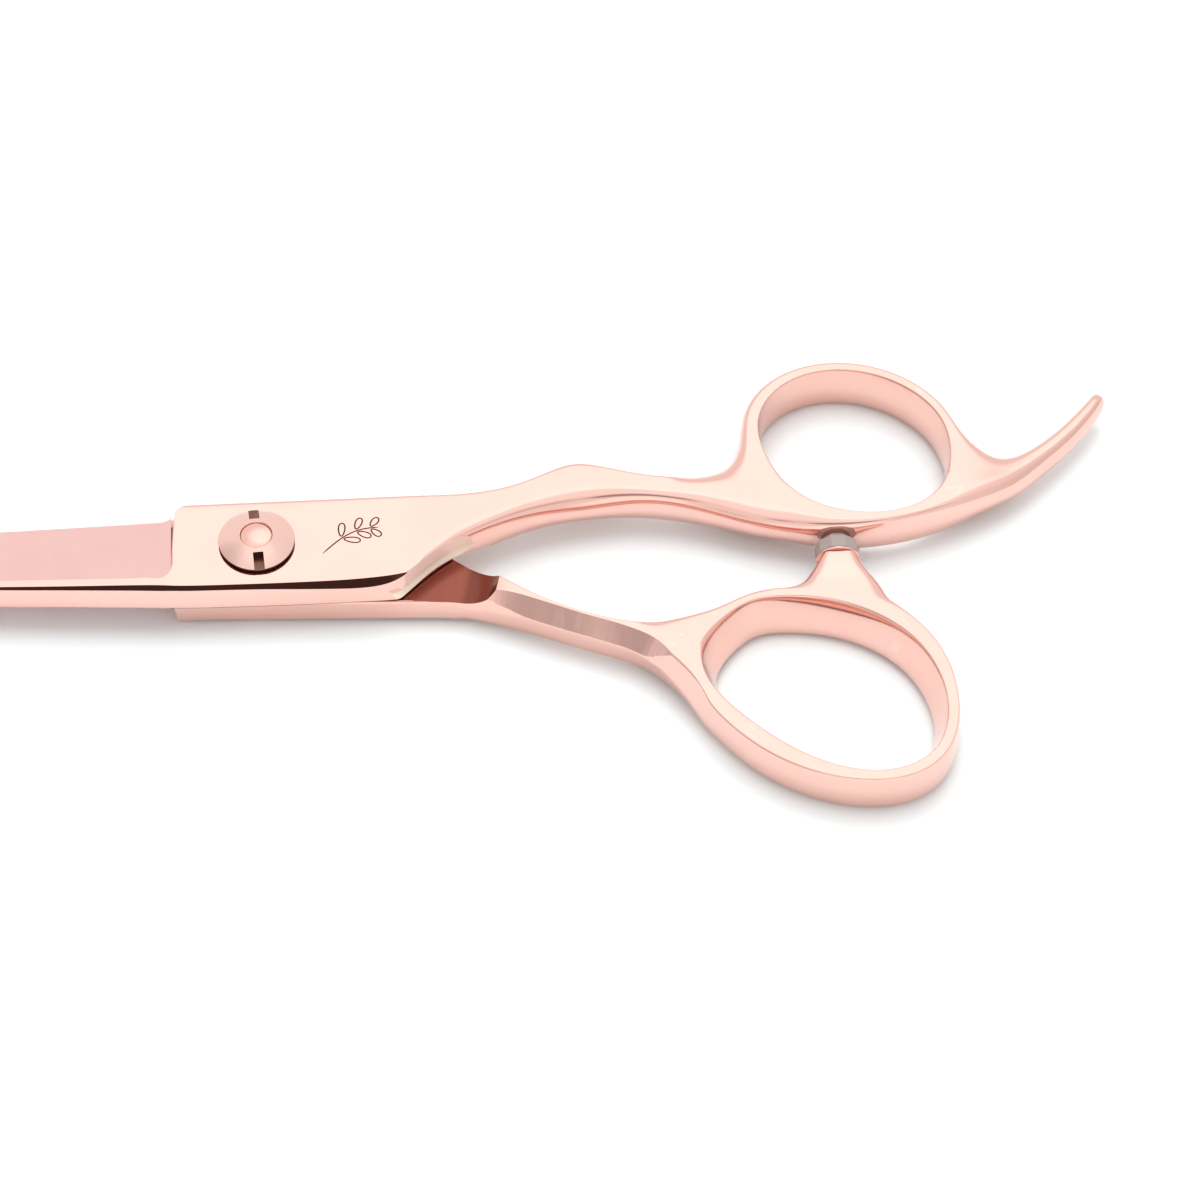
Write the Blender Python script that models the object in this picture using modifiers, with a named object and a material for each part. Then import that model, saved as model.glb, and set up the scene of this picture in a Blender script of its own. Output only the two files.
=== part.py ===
"""Hair cutting shears: two forged halves with finger loops, turning on a stud with a slotted tension disc.

The pivot axis is the Z axis. The blades point along -X and the finger loops along +X.
Z = 0 is the back face of the stud's flat head, which the shears rest on.
All dimensions below are in millimetres and are scaled to metres as the meshes are made.
"""
import math

import bmesh
import bpy
from mathutils import Vector

MM = 0.001

# Levels along the pivot axis.
HEAD_TOP = 0.55
BACK_FACE = 0.6
RIDE_REAR = 3.75
RIDE_FRONT = 3.85
FRONT_FACE = 7.0
MIRROR_Z = RIDE_REAR + RIDE_FRONT
LOOP_TOP = 6.2
LOOP_BASE = 0.05
RIDE_POCKET = 0.05
ABOVE_ALL = 9.0

# Blade.
BLOCK_DEPTH = 3.15
TIP_X = -74.0
HEEL_X = -8.7
EDGE_LAND = 0.15
SPINE_BAND = 1.95
EDGE_OVERCUT = 1.5
HEEL_RADIUS = 2.3
HEEL_LEAN = 0.9
HEEL_CORNER = 1.3
HEEL_LIFT = 0.8
WALL_LEAN = ((TIP_X, 0.6), (0.0, 0.6), (8.0, 0.35), (15.6, 0.2))

# Ride pocket behind the pivot, ended by a scooped shoulder.
POCKET_RADIUS = 23.2
SCOOP_RADIUS = 4.8

# Loops: centre, half axes and tilt of the rim ellipses in plan.
FINGER_LOOP = (67.75, 11.75, 11.4, 9.7, -36.0)
THUMB_LOOP = (61.95, -21.4, 15.0, 10.4, -35.4)
FINGER_FLARE = 0.45
THUMB_FLARE = 1.5
HOLE_WAIST = 0.28
JOIN_WAIST = 1.9
FACET_RISE = (0.55, 0.66, 0.66, 0.64, 0.62, 0.6, 0.55)

# Pivot hardware.
HEAD_RADIUS = 5.3
SQUARE = 4.6
JOURNAL_RADIUS = 2.2
THREAD_RADIUS = 1.75
STUD_TOP = 8.36
DISC_RADIUS = 4.25
DISC_RIM = (7.3, 7.55)
DISC_TOP = 8.5
SLOT_WIDTH = 1.15
SLOT_START = 2.35
SLOT_FLOOR = 7.42
SLOT_ANGLE = math.radians(94.0)
WELL_RADIUS = 3.9
WELL_FLOOR = 5.45
WASHER_RADIUS = 3.75
BUSH_RADIUS = 3.4
THRUST_RADIUS = 4.4
FIT = 0.05

# Bumper between the handles; its axis runs along Y.
BUMPER_X = 64.7
BUMPER_Z = 4.0
BUMPER_RADIUS = 2.5
BUMPER_FACETS = 10
PIN_RADIUS = 0.8
PIN_DEPTH = 3.4
BUMPER_SPAN = (-3.2, -0.75)
COLLAR_SPAN = (-3.5, -3.24)
NECK_END = -3.55

CORNERS = ("tl", "tm", "tr", "rm", "br", "bm", "bl", "lm")
SUBDIVISION = 1


def clear_scene():
    for item in list(bpy.data.objects):
        bpy.data.objects.remove(item, do_unlink=True)
    for mesh in list(bpy.data.meshes):
        bpy.data.meshes.remove(mesh)
    for collection in list(bpy.data.collections):
        bpy.data.collections.remove(collection)


def new_collection(name):
    collection = bpy.data.collections.new(name)
    bpy.context.scene.collection.children.link(collection)
    return collection


def material(name, colour, metallic, roughness, transmission=0.0):
    made = bpy.data.materials.new(name)
    made.use_nodes = True
    shader = made.node_tree.nodes["Principled BSDF"]
    shader.inputs["Base Color"].default_value = (*colour, 1.0)
    shader.inputs["Metallic"].default_value = metallic
    shader.inputs["Roughness"].default_value = roughness
    shader.inputs["Transmission Weight"].default_value = transmission
    made.diffuse_color = (*colour, 1.0)
    return made


def add_object(name, mesh, collection, smooth=True):
    item = bpy.data.objects.new(name, mesh)
    collection.objects.link(item)
    for polygon in mesh.polygons:
        polygon.use_smooth = smooth
    return item


def as_cutter(item):
    item.hide_render = True
    item.display_type = "WIRE"
    return item


def cut(item, cutter):
    step = item.modifiers.new("cut_" + cutter.name, "BOOLEAN")
    step.operation = "DIFFERENCE"
    step.solver = "EXACT"
    step.object = cutter


def mesh_from(bm, name, scale=MM):
    bmesh.ops.recalc_face_normals(bm, faces=bm.faces)
    for vertex in bm.verts:
        vertex.co *= scale
    mesh = bpy.data.meshes.new(name)
    bm.to_mesh(mesh)
    bm.free()
    return mesh


# ---------------------------------------------------------------- sections


def section(left, right, top, bottom, inset=(0.0, 0.0), crease=1.0, flare=(0.0, 0.0), corner=""):
    """An eight-point section. left and right are plan points at mid height.

    inset pulls the top and bottom corners towards the middle, as shares of the width.
    flare moves the top left and top right corners further inwards, in millimetres.
    """
    left = Vector(left)
    right = Vector(right)
    across = right - left
    unit = across.normalized()
    middle = (left + right) / 2
    height = (top + bottom) / 2
    top_left = left + across * inset[0] + unit * flare[0]
    top_right = right - across * inset[0] - unit * flare[1]
    low_left = left + across * inset[1]
    low_right = right - across * inset[1]
    points = {
        "tl": (*top_left, top),
        "tm": (*((top_left + top_right) / 2), top),
        "tr": (*top_right, top),
        "rm": (*right, height),
        "br": (*low_right, bottom),
        "bm": (*middle, bottom),
        "bl": (*low_left, bottom),
        "lm": (*left, height),
    }
    made = {key: Vector(value) for key, value in points.items()}
    made["crease"] = crease
    made["corner"] = corner
    return made


def moved_corners(here, raised=None, **plan):
    """A section with some corners moved in plan and the right middle point raised."""
    fresh = dict(here)
    for key, point in plan.items():
        fresh[key] = Vector((*point, here[key].z))
    fresh["tm"] = (fresh["tl"] + fresh["tr"]) / 2
    if raised is not None:
        low = here["br"].z
        fresh["rm"] = Vector((here["rm"].x, here["rm"].y, low + (here["tr"].z - low) * raised))
    return fresh


def ellipse_point(loop, degrees, grow=0.0):
    """Plan point of a loop's rim ellipse, grown outwards along its half axes."""
    x, y, half_long, half_short, tilt = loop
    phi = math.radians(degrees)
    turn = math.radians(tilt)
    u = (half_long + grow) * math.cos(phi)
    v = (half_short + grow) * math.sin(phi)
    return (x + u * math.cos(turn) - v * math.sin(turn), y + u * math.sin(turn) + v * math.cos(turn))


def through_points(chain):
    """Moves the inner sections outwards so that the subdivided surface passes through the given points."""
    moved = []
    for index, here in enumerate(chain):
        if index in (0, len(chain) - 1) or here["corner"]:
            moved.append(here)
            continue
        before = chain[index - 1]
        after = chain[index + 1]
        fresh = dict(here)
        for key in CORNERS:
            fresh[key] = here[key] + (here[key] * 2 - before[key] - after[key]) / 6
        moved.append(fresh)
    return moved


class Cage:
    """Coarse control mesh made of chains of eight-point sections."""

    def __init__(self):
        self.bm = bmesh.new()
        self.crease = self.bm.edges.layers.float.new("crease_edge")

    def place(self, chain):
        placed = []
        for here in chain:
            ring = {key: self.bm.verts.new(here[key]) for key in CORNERS}
            ring["crease"] = here["crease"]
            ring["corner"] = here["corner"]
            placed.append(ring)
        return placed

    def mark(self, first, second, value):
        edge = self.bm.edges.get((first, second))
        if edge:
            edge[self.crease] = value

    def sides(self, placed, gaps=()):
        """Joins neighbouring sections. gaps lists (first section, side key) patches two by two left open."""
        open_quads = set()
        for start, key in gaps:
            for index in (start, start + 1):
                open_quads.add((index, key))
        for index in range(len(placed) - 1):
            here = placed[index]
            after = placed[index + 1]
            for k, key in enumerate(CORNERS):
                following = CORNERS[(k + 1) % 8]
                side = {"tr": "rm", "rm": "rm", "bl": "lm", "lm": "lm"}.get(key, "")
                if (index, side) in open_quads:
                    continue
                self.bm.faces.new((here[key], here[following], after[following], after[key]))
            for key in ("tl", "tr", "br", "bl"):
                self.mark(here[key], after[key], min(here["crease"], after["crease"]))
        for start, key in gaps:
            self.bm.verts.remove(placed[start + 1][key])
        for ring in placed:
            for key in ring["corner"].split():
                upper, lower = {"lm": ("tl", "bl"), "rm": ("tr", "br")}[key]
                self.mark(ring[upper], ring[key], 1.0)
                self.mark(ring[key], ring[lower], 1.0)

    def cap(self, ring, crease=0.0):
        centre = sum((ring[key].co for key in CORNERS), Vector()) / 8
        hub = self.bm.verts.new(centre)
        for k in range(0, 8, 2):
            before = CORNERS[k - 1]
            here = CORNERS[k]
            after = CORNERS[(k + 1) % 8]
            self.bm.faces.new((ring[before], ring[here], ring[after], hub))
        for k, key in enumerate(CORNERS):
            self.mark(ring[key], ring[CORNERS[(k + 1) % 8]], crease)

    def bridge(self, placed, start, key, ring, turned=False):
        """Joins a branch's section to the open patch that starts at a section, on its left or right side."""
        upper, lower = {"lm": ("tl", "bl"), "rm": ("tr", "br")}[key]
        first, middle, last = placed[start : start + 3]
        rim = [first[upper], middle[upper], last[upper], last[key]]
        rim += [last[lower], middle[lower], first[lower], first[key]]
        order = ("tl", "tm", "tr", "rm", "br", "bm", "bl", "lm")
        if turned:
            order = ("tr", "tm", "tl", "lm", "bl", "bm", "br", "rm")
        branch = [ring[name] for name in order]
        for k in range(8):
            n = (k + 1) % 8
            self.bm.faces.new((rim[k], rim[n], branch[n], branch[k]))
        for k in (0, 2, 4, 6):
            self.mark(rim[k], branch[k], ring["crease"])
        for k in (0, 1, 4, 5):
            self.mark(rim[k], rim[k + 1], 0.0)


def straight_sections(rows, ride_face, side):
    """Blade and pivot block. Each row gives x, left y, right y, thickness and the side with a sharp corner.

    side is 1 where the metal lies above the ride face, and -1 where it lies below.
    """
    made = []
    for x, left, right, thick, corner in rows:
        top = ride_face + max(0, side) * thick
        bottom = ride_face + min(0, side) * thick
        lean = max(0, side) * interpolate(WALL_LEAN, x, 1) * thick / BLOCK_DEPTH
        made.append(section((x, left), (x, right), top, bottom, flare=(0.0, lean), corner=corner))
    return made


# ------------------------------------------------------------ front half


FRONT_BLADE = (
    (TIP_X, 0.3, -0.4, 1.0, ""),
    (-72.0, 1.0, -0.95, 1.1, ""),
    (-65.0, 2.15, -1.85, 1.45, ""),
    (-52.0, 3.75, -3.2, 2.0, ""),
    (-38.0, 4.85, -4.55, 2.5, ""),
    (-24.0, 5.25, -5.6, 2.9, ""),
    (-12.0, 5.6, -6.3, BLOCK_DEPTH, ""),
    (-8.0, 5.7, -6.6, BLOCK_DEPTH, ""),
    (0.0, 5.75, -6.7, BLOCK_DEPTH, ""),
    (8.0, 5.8, -6.7, BLOCK_DEPTH, ""),
    (15.6, 5.85, -6.55, BLOCK_DEPTH, "rm"),
)


def front_chain():
    chain = straight_sections(FRONT_BLADE, RIDE_FRONT, 1)
    chain += [
        section((18.8, 5.85), (18.8, -3.4), FRONT_FACE, 3.7, crease=0.9, flare=(0.0, 0.25)),
        section((22.5, 6.0), (22.5, -0.7), FRONT_FACE, 2.6, (0.02, 0.05), 0.7, (0.0, 0.25)),
        section((27.5, 6.8), (27.5, 1.6), 6.95, 2.0, (0.06, 0.12), 0.3, (0.0, 0.2)),
        section((32.0, 9.0), (32.0, 3.0), 6.8, 1.8, (0.12, 0.2), 0.0),
        section((35.6, 10.95), (36.5, 3.6), 6.7, 1.7, (0.15, 0.2), 0.0),
        section((39.6, 9.95), (40.5, 4.15), 6.6, 1.6, (0.15, 0.2), 0.0),
        section((44.0, 8.6), (44.5, 4.15), 6.5, 1.5, (0.15, 0.2), 0.0),
        section((48.5, 8.35), (49.0, 3.2), 6.4, 1.4, (0.14, 0.2), 0.0),
        section((52.8, 8.8), (53.0, 1.8), 6.3, 1.3, (0.1, 0.18), 0.0),
        section((56.2, 7.6), (56.5, 0.7), LOOP_TOP, 1.2, (0.08, 0.18), 0.0),
        section(ellipse_point(FINGER_LOOP, -112, 0.2), (60.0, -0.1), LOOP_TOP, 1.2, (0.1, 0.2), 0.0),
        section(ellipse_point(FINGER_LOOP, -88, -0.4), (63.0, -0.6), LOOP_TOP, 1.2, (0.15, 0.2), 0.0),
        section(ellipse_point(FINGER_LOOP, -64, -0.7), (67.3, -0.6), LOOP_TOP, 1.2, (0.18, 0.2), 0.0),
        section(ellipse_point(FINGER_LOOP, -40, -0.6), (72.5, 0.2), LOOP_TOP, 1.2, (0.18, 0.2), 0.0),
        section(ellipse_point(FINGER_LOOP, -14, -0.5), (77.6, 1.6), LOOP_TOP, 1.2, (0.16, 0.2), 0.0),
        section(ellipse_point(FINGER_LOOP, 12, -0.3), (81.4, 3.1), 6.1, 1.2, (0.12, 0.2), 0.0),
        section((80.8, 8.4), (84.4, 4.6), 5.8, 1.3, (0.12, 0.2), 0.0),
        section((83.6, 9.3), (86.8, 6.2), 5.5, 1.4, (0.16, 0.2), 0.0),
        section((87.3, 11.2), (89.7, 9.0), 5.2, 1.5, (0.18, 0.2), 0.0),
        section((91.0, 14.3), (93.2, 12.4), 5.0, 1.7, (0.2, 0.2), 0.0),
        section((94.2, 17.8), (96.1, 16.4), 4.8, 1.8, (0.2, 0.2), 0.0),
        section((95.2, 19.2), (97.0, 18.2), 4.6, 2.0, (0.25, 0.25), 0.0),
    ]
    return chain


def loop_section(loop, degrees, wall, flare, top=LOOP_TOP, lip=0.0, hole_left=False):
    """A section of a loop: the hole side is on the right, or on the left if hole_left is set."""
    base = LOOP_BASE
    inner = ellipse_point(loop, degrees, -flare - lip)
    outer = ellipse_point(loop, degrees, wall)
    if hole_left:
        made = section(inner, outer, top, base, (0.08, 0.12), 0.0, flare=(flare * 0.85, 0.0))
        made["lm"].z = base + (top - base) * HOLE_WAIST
        return made
    return section(outer, inner, top, base, (0.1, 0.12), 0.0, flare=(0.0, flare * 0.85))


def finger_strand():
    made = []
    for degrees in range(-142, -322, -22):
        wall = 1.75 + 0.7 * max(0.0, math.cos(math.radians(degrees + 150))) ** 2
        flare = FINGER_FLARE * (1.0 + math.cos(math.radians(degrees - 40)))
        made.append(loop_section(FINGER_LOOP, degrees, wall, flare))
    return made


def build_front(collection):
    cage = Cage()
    chain = cage.place(through_points(front_chain()))
    start = 19
    end = 26
    cage.sides(chain, gaps=((start, "lm"), (end, "lm")))
    cage.cap(chain[0], 1.0)
    cage.cap(chain[-1])
    strand = cage.place(through_points(finger_strand()))
    cage.sides(strand)
    cage.bridge(chain, start, "lm", strand[0])
    cage.bridge(chain, end, "lm", strand[-1], turned=True)
    return finish_half("front_half", cage, collection)


# ------------------------------------------------------------- rear half


REAR_BLADE = (
    (TIP_X, 0.3, -0.3, 1.0, ""),
    (-72.0, 0.85, -0.85, 1.1, ""),
    (-65.0, 1.9, -1.75, 1.45, ""),
    (-52.0, 3.4, -3.1, 2.0, ""),
    (-38.0, 4.5, -4.4, 2.5, ""),
    (-24.0, 5.2, -5.35, 2.9, ""),
    (-12.0, 5.6, -5.7, BLOCK_DEPTH, ""),
    (-8.0, 6.3, -5.75, BLOCK_DEPTH, ""),
    (0.0, 6.6, -6.0, BLOCK_DEPTH, ""),
    (8.0, 6.6, -6.3, BLOCK_DEPTH, ""),
    (15.6, 6.0, -6.6, BLOCK_DEPTH, "lm"),
)


def rear_chain():
    chain = straight_sections(REAR_BLADE, RIDE_REAR, -1)
    loop = THUMB_LOOP
    chain += [
        section((18.5, 1.9), (20.0, -6.8), 3.9, BACK_FACE, crease=0.9),
        section((22.5, -1.4), (22.6, -7.2), 5.2, 0.6, (0.03, 0.0), 0.7),
        section((27.0, -4.8), (26.6, -8.6), 6.1, 0.7, (0.12, 0.05), 0.4, flare=(0.0, 0.4)),
        section((31.4, -8.0), (30.8, -10.4), 6.2, 0.8, (0.15, 0.12), 0.2, flare=(0.0, 0.6)),
        section((36.0, -10.3), (35.3, -12.4), 6.2, 0.8, (0.16, 0.14), 0.2, flare=(0.0, 0.7)),
        section((40.0, -11.6), (39.5, -14.1), 6.2, 0.8, (0.16, 0.14), 0.2, flare=(0.0, 0.7)),
        section((43.2, -12.0), (42.7, -16.0), 6.2, 0.7, (0.14, 0.14), 0.2, flare=(0.0, 0.9)),
        section((45.9, -12.5), (44.9, -18.4), 6.2, 0.5, (0.1, 0.12), 0.2, flare=(0.0, 0.9)),
        section((50.0, -16.0), (46.6, -20.8), 6.2, 0.3, (0.08, 0.12), 0.2, flare=(0.0, 0.8)),
        section((50.5, -19.2), (48.1, -23.3), 6.1, 0.15, (0.08, 0.12), 0.1, flare=(0.6, 0.7)),
    ]
    for index, raised in zip(range(13, 20), FACET_RISE):
        chain[index] = moved_corners(chain[index], raised)
    chain[19] = moved_corners(chain[19], tl=(48.1, -15.9))
    chain[20] = moved_corners(chain[20], tl=(48.9, -20.0))
    for here in chain[19:21]:
        here["lm"].z = JOIN_WAIST
    walls = (1.4, 1.4, 1.5, 1.6, 1.7, 1.8, 1.5, 1.1, 1.2, 2.0, 2.9, 3.1, 2.2, 1.1, 1.2)
    lips = (1.0, 1.3, 1.0, 0.5, 0.0, -0.1, 0.1, 0.5, 0.4, 0.0, -0.5, -0.5, -0.2, 0.2, 0.3)
    for step, wall in enumerate(walls):
        here = loop_section(loop, -122 + 19.3 * step, wall, THUMB_FLARE, 6.0, lips[step], True)
        chain.append(here)
    join = section((52.6, -13.4), (50.6, -10.6), 6.1, 0.2, (0.1, 0.12), 0.0)
    join["lm"].z = JOIN_WAIST
    chain.append(moved_corners(join, tl=(51.5, -11.9)))
    return chain


def neck_sections():
    wide = section((59.7, -6.9), (70.3, -8.0), 5.9, 1.6, (0.16, 0.16), 0.0)
    waist = section((61.2, -5.4), (67.9, -5.3), 6.1, 1.9, (0.16, 0.16), 0.0)
    end = section((62.4, NECK_END), (67.1, NECK_END), 6.15, 1.9, (0.16, 0.16), 0.0)
    return [wide, waist, end]


def build_rear(collection):
    cage = Cage()
    chain = cage.place(through_points(rear_chain()))
    start = 17
    neck = len(chain) - 5
    cage.sides(chain, gaps=((start, "lm"), (neck, "rm")))
    cage.cap(chain[0], 1.0)
    cage.bridge(chain, start, "lm", chain[-1], turned=True)
    branch = cage.place(neck_sections())
    cage.sides(branch)
    cage.cap(branch[-1], 0.9)
    cage.bridge(chain, neck, "rm", branch[0], turned=True)
    return finish_half("rear_half", cage, collection)


def finish_half(name, cage, collection):
    item = add_object(name, mesh_from(cage.bm, name), collection)
    smooth = item.modifiers.new("subdivision", "SUBSURF")
    smooth.levels = SUBDIVISION
    smooth.render_levels = SUBDIVISION
    return item


# ---------------------------------------------------------------- cutters


def interpolate(rows, x, column):
    for before, after in zip(rows, rows[1:]):
        if before[0] <= x <= after[0]:
            share = (x - before[0]) / (after[0] - before[0])
            return before[column] + (after[column] - before[column]) * share
    return rows[0][column]


def heel_corner(rows):
    """Plan points (x, y, lean) that round the block's corner above the cutting edge."""
    edge = interpolate(rows, HEEL_X, 1)
    made = []
    for degrees in (0, 30, 60, 90):
        turn = math.radians(degrees)
        x = HEEL_X + HEEL_CORNER * (1.0 - math.cos(turn))
        made.append((x, edge - HEEL_CORNER * (1.0 - math.sin(turn)), HEEL_LEAN * math.cos(turn)))
    return made


def grind_cutter(name, rows, collection, rear):
    """Solid above the ground face of a blade, with a rounded end at the heel.

    rows give x, cutting edge y, spine y and thickness for a blade whose edge faces +Y.
    """
    centre = HEEL_X - HEEL_RADIUS
    stations = [(x, None, 0.0) for x in (TIP_X - 2.0, -73.2, -69.0, -62.0, -52.0, -42.0, -32.0, -22.0)]
    for degrees in (0, 25, 45, 65, 80, 90):
        along = math.sin(math.radians(degrees))
        stations.append((centre + HEEL_RADIUS * along, None, HEEL_LEAN * along))
    if not rear:
        stations += heel_corner(rows)
    bm = bmesh.new()
    rings = []
    for x, wall, lean in stations:
        at = max(x, TIP_X)
        edge = interpolate(rows, at, 1)
        spine = interpolate(rows, at, 2)
        thick = interpolate(rows, at, 3)
        band = SPINE_BAND * min(1.0, thick / BLOCK_DEPTH) ** 1.5
        ridge = spine + band
        slope = (thick - EDGE_LAND) / (edge - ridge)
        if wall is not None:
            inner = wall
        elif x > centre:
            inner = ridge + HEEL_RADIUS * (1.0 - math.sqrt(max(0.0, 1.0 - ((x - centre) / HEEL_RADIUS) ** 2)))
        else:
            inner = ridge - 0.6 * band
        base = RIDE_FRONT + EDGE_LAND
        past = edge + EDGE_OVERCUT
        lift = 0.0 if rear else HEEL_LIFT * min(1.0, max(0.0, (x - centre) / HEEL_RADIUS)) ** 2
        low = [(past, base - EDGE_OVERCUT * slope + lift), (inner, base + (edge - inner) * slope)]
        foot = x - lean
        ring = [bm.verts.new((foot, *low[0])), bm.verts.new((foot, *low[1]))]
        ring += [bm.verts.new((x, inner, ABOVE_ALL)), bm.verts.new((x, past, ABOVE_ALL))]
        if rear:
            for vertex in ring:
                vertex.co.y = -vertex.co.y
                vertex.co.z = MIRROR_Z - vertex.co.z
        rings.append(ring)
    bm.faces.new(rings[0])
    bm.faces.new(rings[-1])
    for here, after in zip(rings, rings[1:]):
        for k in range(4):
            n = (k + 1) % 4
            bm.faces.new((here[k], here[n], after[n], after[k]))
    return as_cutter(add_object(name, mesh_from(bm, name), collection, smooth=False))


def turned(name, profile, steps, collection, smooth=True):
    """Solid of revolution about Z. The profile runs from top to bottom down its outer side."""
    mesh = bpy.data.meshes.new(name)
    points = [(radius * MM, 0.0, height * MM) for radius, height in profile]
    closed = profile[0][0] > 0.0
    edges = [(k, k + 1) for k in range(len(points) - 1)]
    if closed:
        edges.append((len(points) - 1, 0))
    mesh.from_pydata(points, edges, [])
    item = add_object(name, mesh, collection)
    turn = item.modifiers.new("turn", "SCREW")
    turn.axis = "Z"
    turn.angle = math.tau
    turn.steps = steps
    turn.render_steps = steps
    turn.use_merge_vertices = True
    turn.merge_threshold = 0.00001
    turn.use_smooth_shade = smooth
    return item


def flip_profile(profile):
    """Mirrors a profile in the plane between the two ride faces, keeping its direction."""
    return [(radius, MIRROR_Z - height) for radius, height in reversed(profile)]


def pocket_profile():
    floor = RIDE_REAR - RIDE_POCKET
    points = [(0.0, ABOVE_ALL), (POCKET_RADIUS + SCOOP_RADIUS + 1.0, ABOVE_ALL)]
    for degrees in (0, 20, 40, 60, 75, 90):
        turn = math.radians(degrees)
        points.append(
            (
                POCKET_RADIUS + SCOOP_RADIUS * math.cos(turn),
                floor + SCOOP_RADIUS - SCOOP_RADIUS * math.sin(turn),
            )
        )
    points.append((0.0, floor))
    return points


def box(name, low, high, collection):
    bm = bmesh.new()
    bmesh.ops.create_cube(bm, size=1.0)
    for vertex in bm.verts:
        for axis in range(3):
            middle = (low[axis] + high[axis]) / 2
            vertex.co[axis] = middle + vertex.co[axis] * (high[axis] - low[axis])
    return add_object(name, mesh_from(bm, name), collection, smooth=False)


# --------------------------------------------------------- pivot hardware


def washer(name, inner, outer, low, high, steps, collection):
    profile = [(outer, high), (outer, low), (inner, low), (inner, high)]
    return turned(name, profile, steps, collection)


def build_stud(collection, cutters):
    half = SQUARE / 2
    profile = [
        (0.0, STUD_TOP),
        (THREAD_RADIUS - 0.1, STUD_TOP),
        (THREAD_RADIUS, STUD_TOP - 0.1),
        (THREAD_RADIUS, 6.1),
        (JOURNAL_RADIUS, 6.0),
        (JOURNAL_RADIUS, HEAD_TOP),
        (HEAD_RADIUS, HEAD_TOP),
        (HEAD_RADIUS, 0.2),
        (HEAD_RADIUS - 0.2, 0.0),
        (0.0, 0.0),
    ]
    stud = turned("pivot_stud", profile, 40, collection)
    key = as_cutter(box("stud_square", (-half, -half, 0.3), (half, half, 3.2), cutters))
    join = stud.modifiers.new("square_neck", "BOOLEAN")
    join.operation = "UNION"
    join.solver = "EXACT"
    join.object = key


def build_disc(collection, cutters):
    bore = THREAD_RADIUS + FIT
    rim_low, rim_high = DISC_RIM
    inner = bore + 0.1
    outer = DISC_RADIUS - 0.1
    profile = []
    for step in range(5):
        share = step / 4
        drop = (DISC_TOP - rim_high) * (0.75 * share + 0.25 * share**2)
        profile.append((inner + (outer - inner) * share, DISC_TOP - drop))
    profile += [
        (DISC_RADIUS, rim_high - 0.1),
        (DISC_RADIUS, rim_low),
        (bore, rim_low),
        (bore, DISC_TOP - 0.1),
    ]
    disc = turned("tension_disc", profile, 64, collection)
    low = (SLOT_START, -SLOT_WIDTH / 2, SLOT_FLOOR)
    high = (DISC_RADIUS + 1.0, SLOT_WIDTH / 2, ABOVE_ALL)
    for number, angle in enumerate((SLOT_ANGLE, SLOT_ANGLE + math.pi)):
        slot = box("disc_slot_%d" % number, low, high, cutters)
        slot.rotation_euler.z = angle
        cut(disc, as_cutter(slot))


def build_washers(collection):
    inner = JOURNAL_RADIUS + FIT
    washer("pivot_bush", inner, BUSH_RADIUS, 4.3, 5.35, 40, collection)
    washer("thrust_washer", inner + 0.2, THRUST_RADIUS, 3.45, 4.15, 40, collection)
    washer("spring_washer", inner + 0.2, WASHER_RADIUS, 5.55, 6.15, 40, collection)
    washer("pressure_washer", THREAD_RADIUS + 0.1, WASHER_RADIUS, 6.3, 7.22, 40, collection)


def bore_halves(front, rear, cutters):
    half = SQUARE / 2 + FIT
    cut(rear, as_cutter(box("square_hole", (-half, -half, 0.0), (half, half, 5.0), cutters)))
    thrust = THRUST_RADIUS + 0.1
    well = [(0.0, 5.0), (thrust, 5.0), (thrust, 3.35), (0.0, 3.35)]
    cut(rear, as_cutter(turned("rear_washer_well", well, 40, cutters)))
    through = BUSH_RADIUS + FIT
    outline = [
        (0.0, 8.0),
        (WELL_RADIUS, 8.0),
        (WELL_RADIUS, WELL_FLOOR),
        (through, WELL_FLOOR),
        (through, 4.25),
        (thrust, 4.25),
        (thrust, 3.0),
        (0.0, 3.0),
    ]
    cut(front, as_cutter(turned("front_bore", outline, 40, cutters)))


# --------------------------------------------------------------- bumper


def stand_along_y(item, x, z):
    item.location = (x * MM, 0.0, z * MM)
    item.rotation_euler.x = -math.pi / 2
    return item


def build_bumper(rear, collection, cutters):
    low, high = BUMPER_SPAN
    radius = BUMPER_RADIUS
    bore = PIN_RADIUS + FIT
    shape = [
        (0.0, high),
        (radius - 0.8, high),
        (radius, high - 0.9),
        (radius, low + 0.15),
        (radius - 0.15, low),
        (bore, low),
        (bore, high - 0.9),
        (0.0, high - 0.9),
    ]
    bumper = turned("bumper", shape, BUMPER_FACETS, collection, smooth=False)
    stand_along_y(bumper, BUMPER_X, BUMPER_Z)
    base, top = COLLAR_SPAN
    collar = turned(
        "bumper_collar",
        [
            (radius - 0.08, top),
            (radius, top - 0.08),
            (radius, base + 0.08),
            (radius - 0.08, base),
            (bore, base),
            (bore, top),
        ],
        32,
        collection,
    )
    stand_along_y(collar, BUMPER_X, BUMPER_Z)
    pin_low = NECK_END - PIN_DEPTH
    pin = [(0.0, high - 1.0), (PIN_RADIUS, high - 1.0), (PIN_RADIUS, pin_low), (0.0, pin_low)]
    stand_along_y(turned("bumper_stud", pin, 20, collection), BUMPER_X, BUMPER_Z)
    hole_low = pin_low - 0.1
    hole = [(0.0, 0.0), (bore, 0.0), (bore, hole_low), (0.0, hole_low)]
    drill = as_cutter(turned("stud_hole", hole, 20, cutters))
    stand_along_y(drill, BUMPER_X, BUMPER_Z)
    cut(rear, drill)


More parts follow.
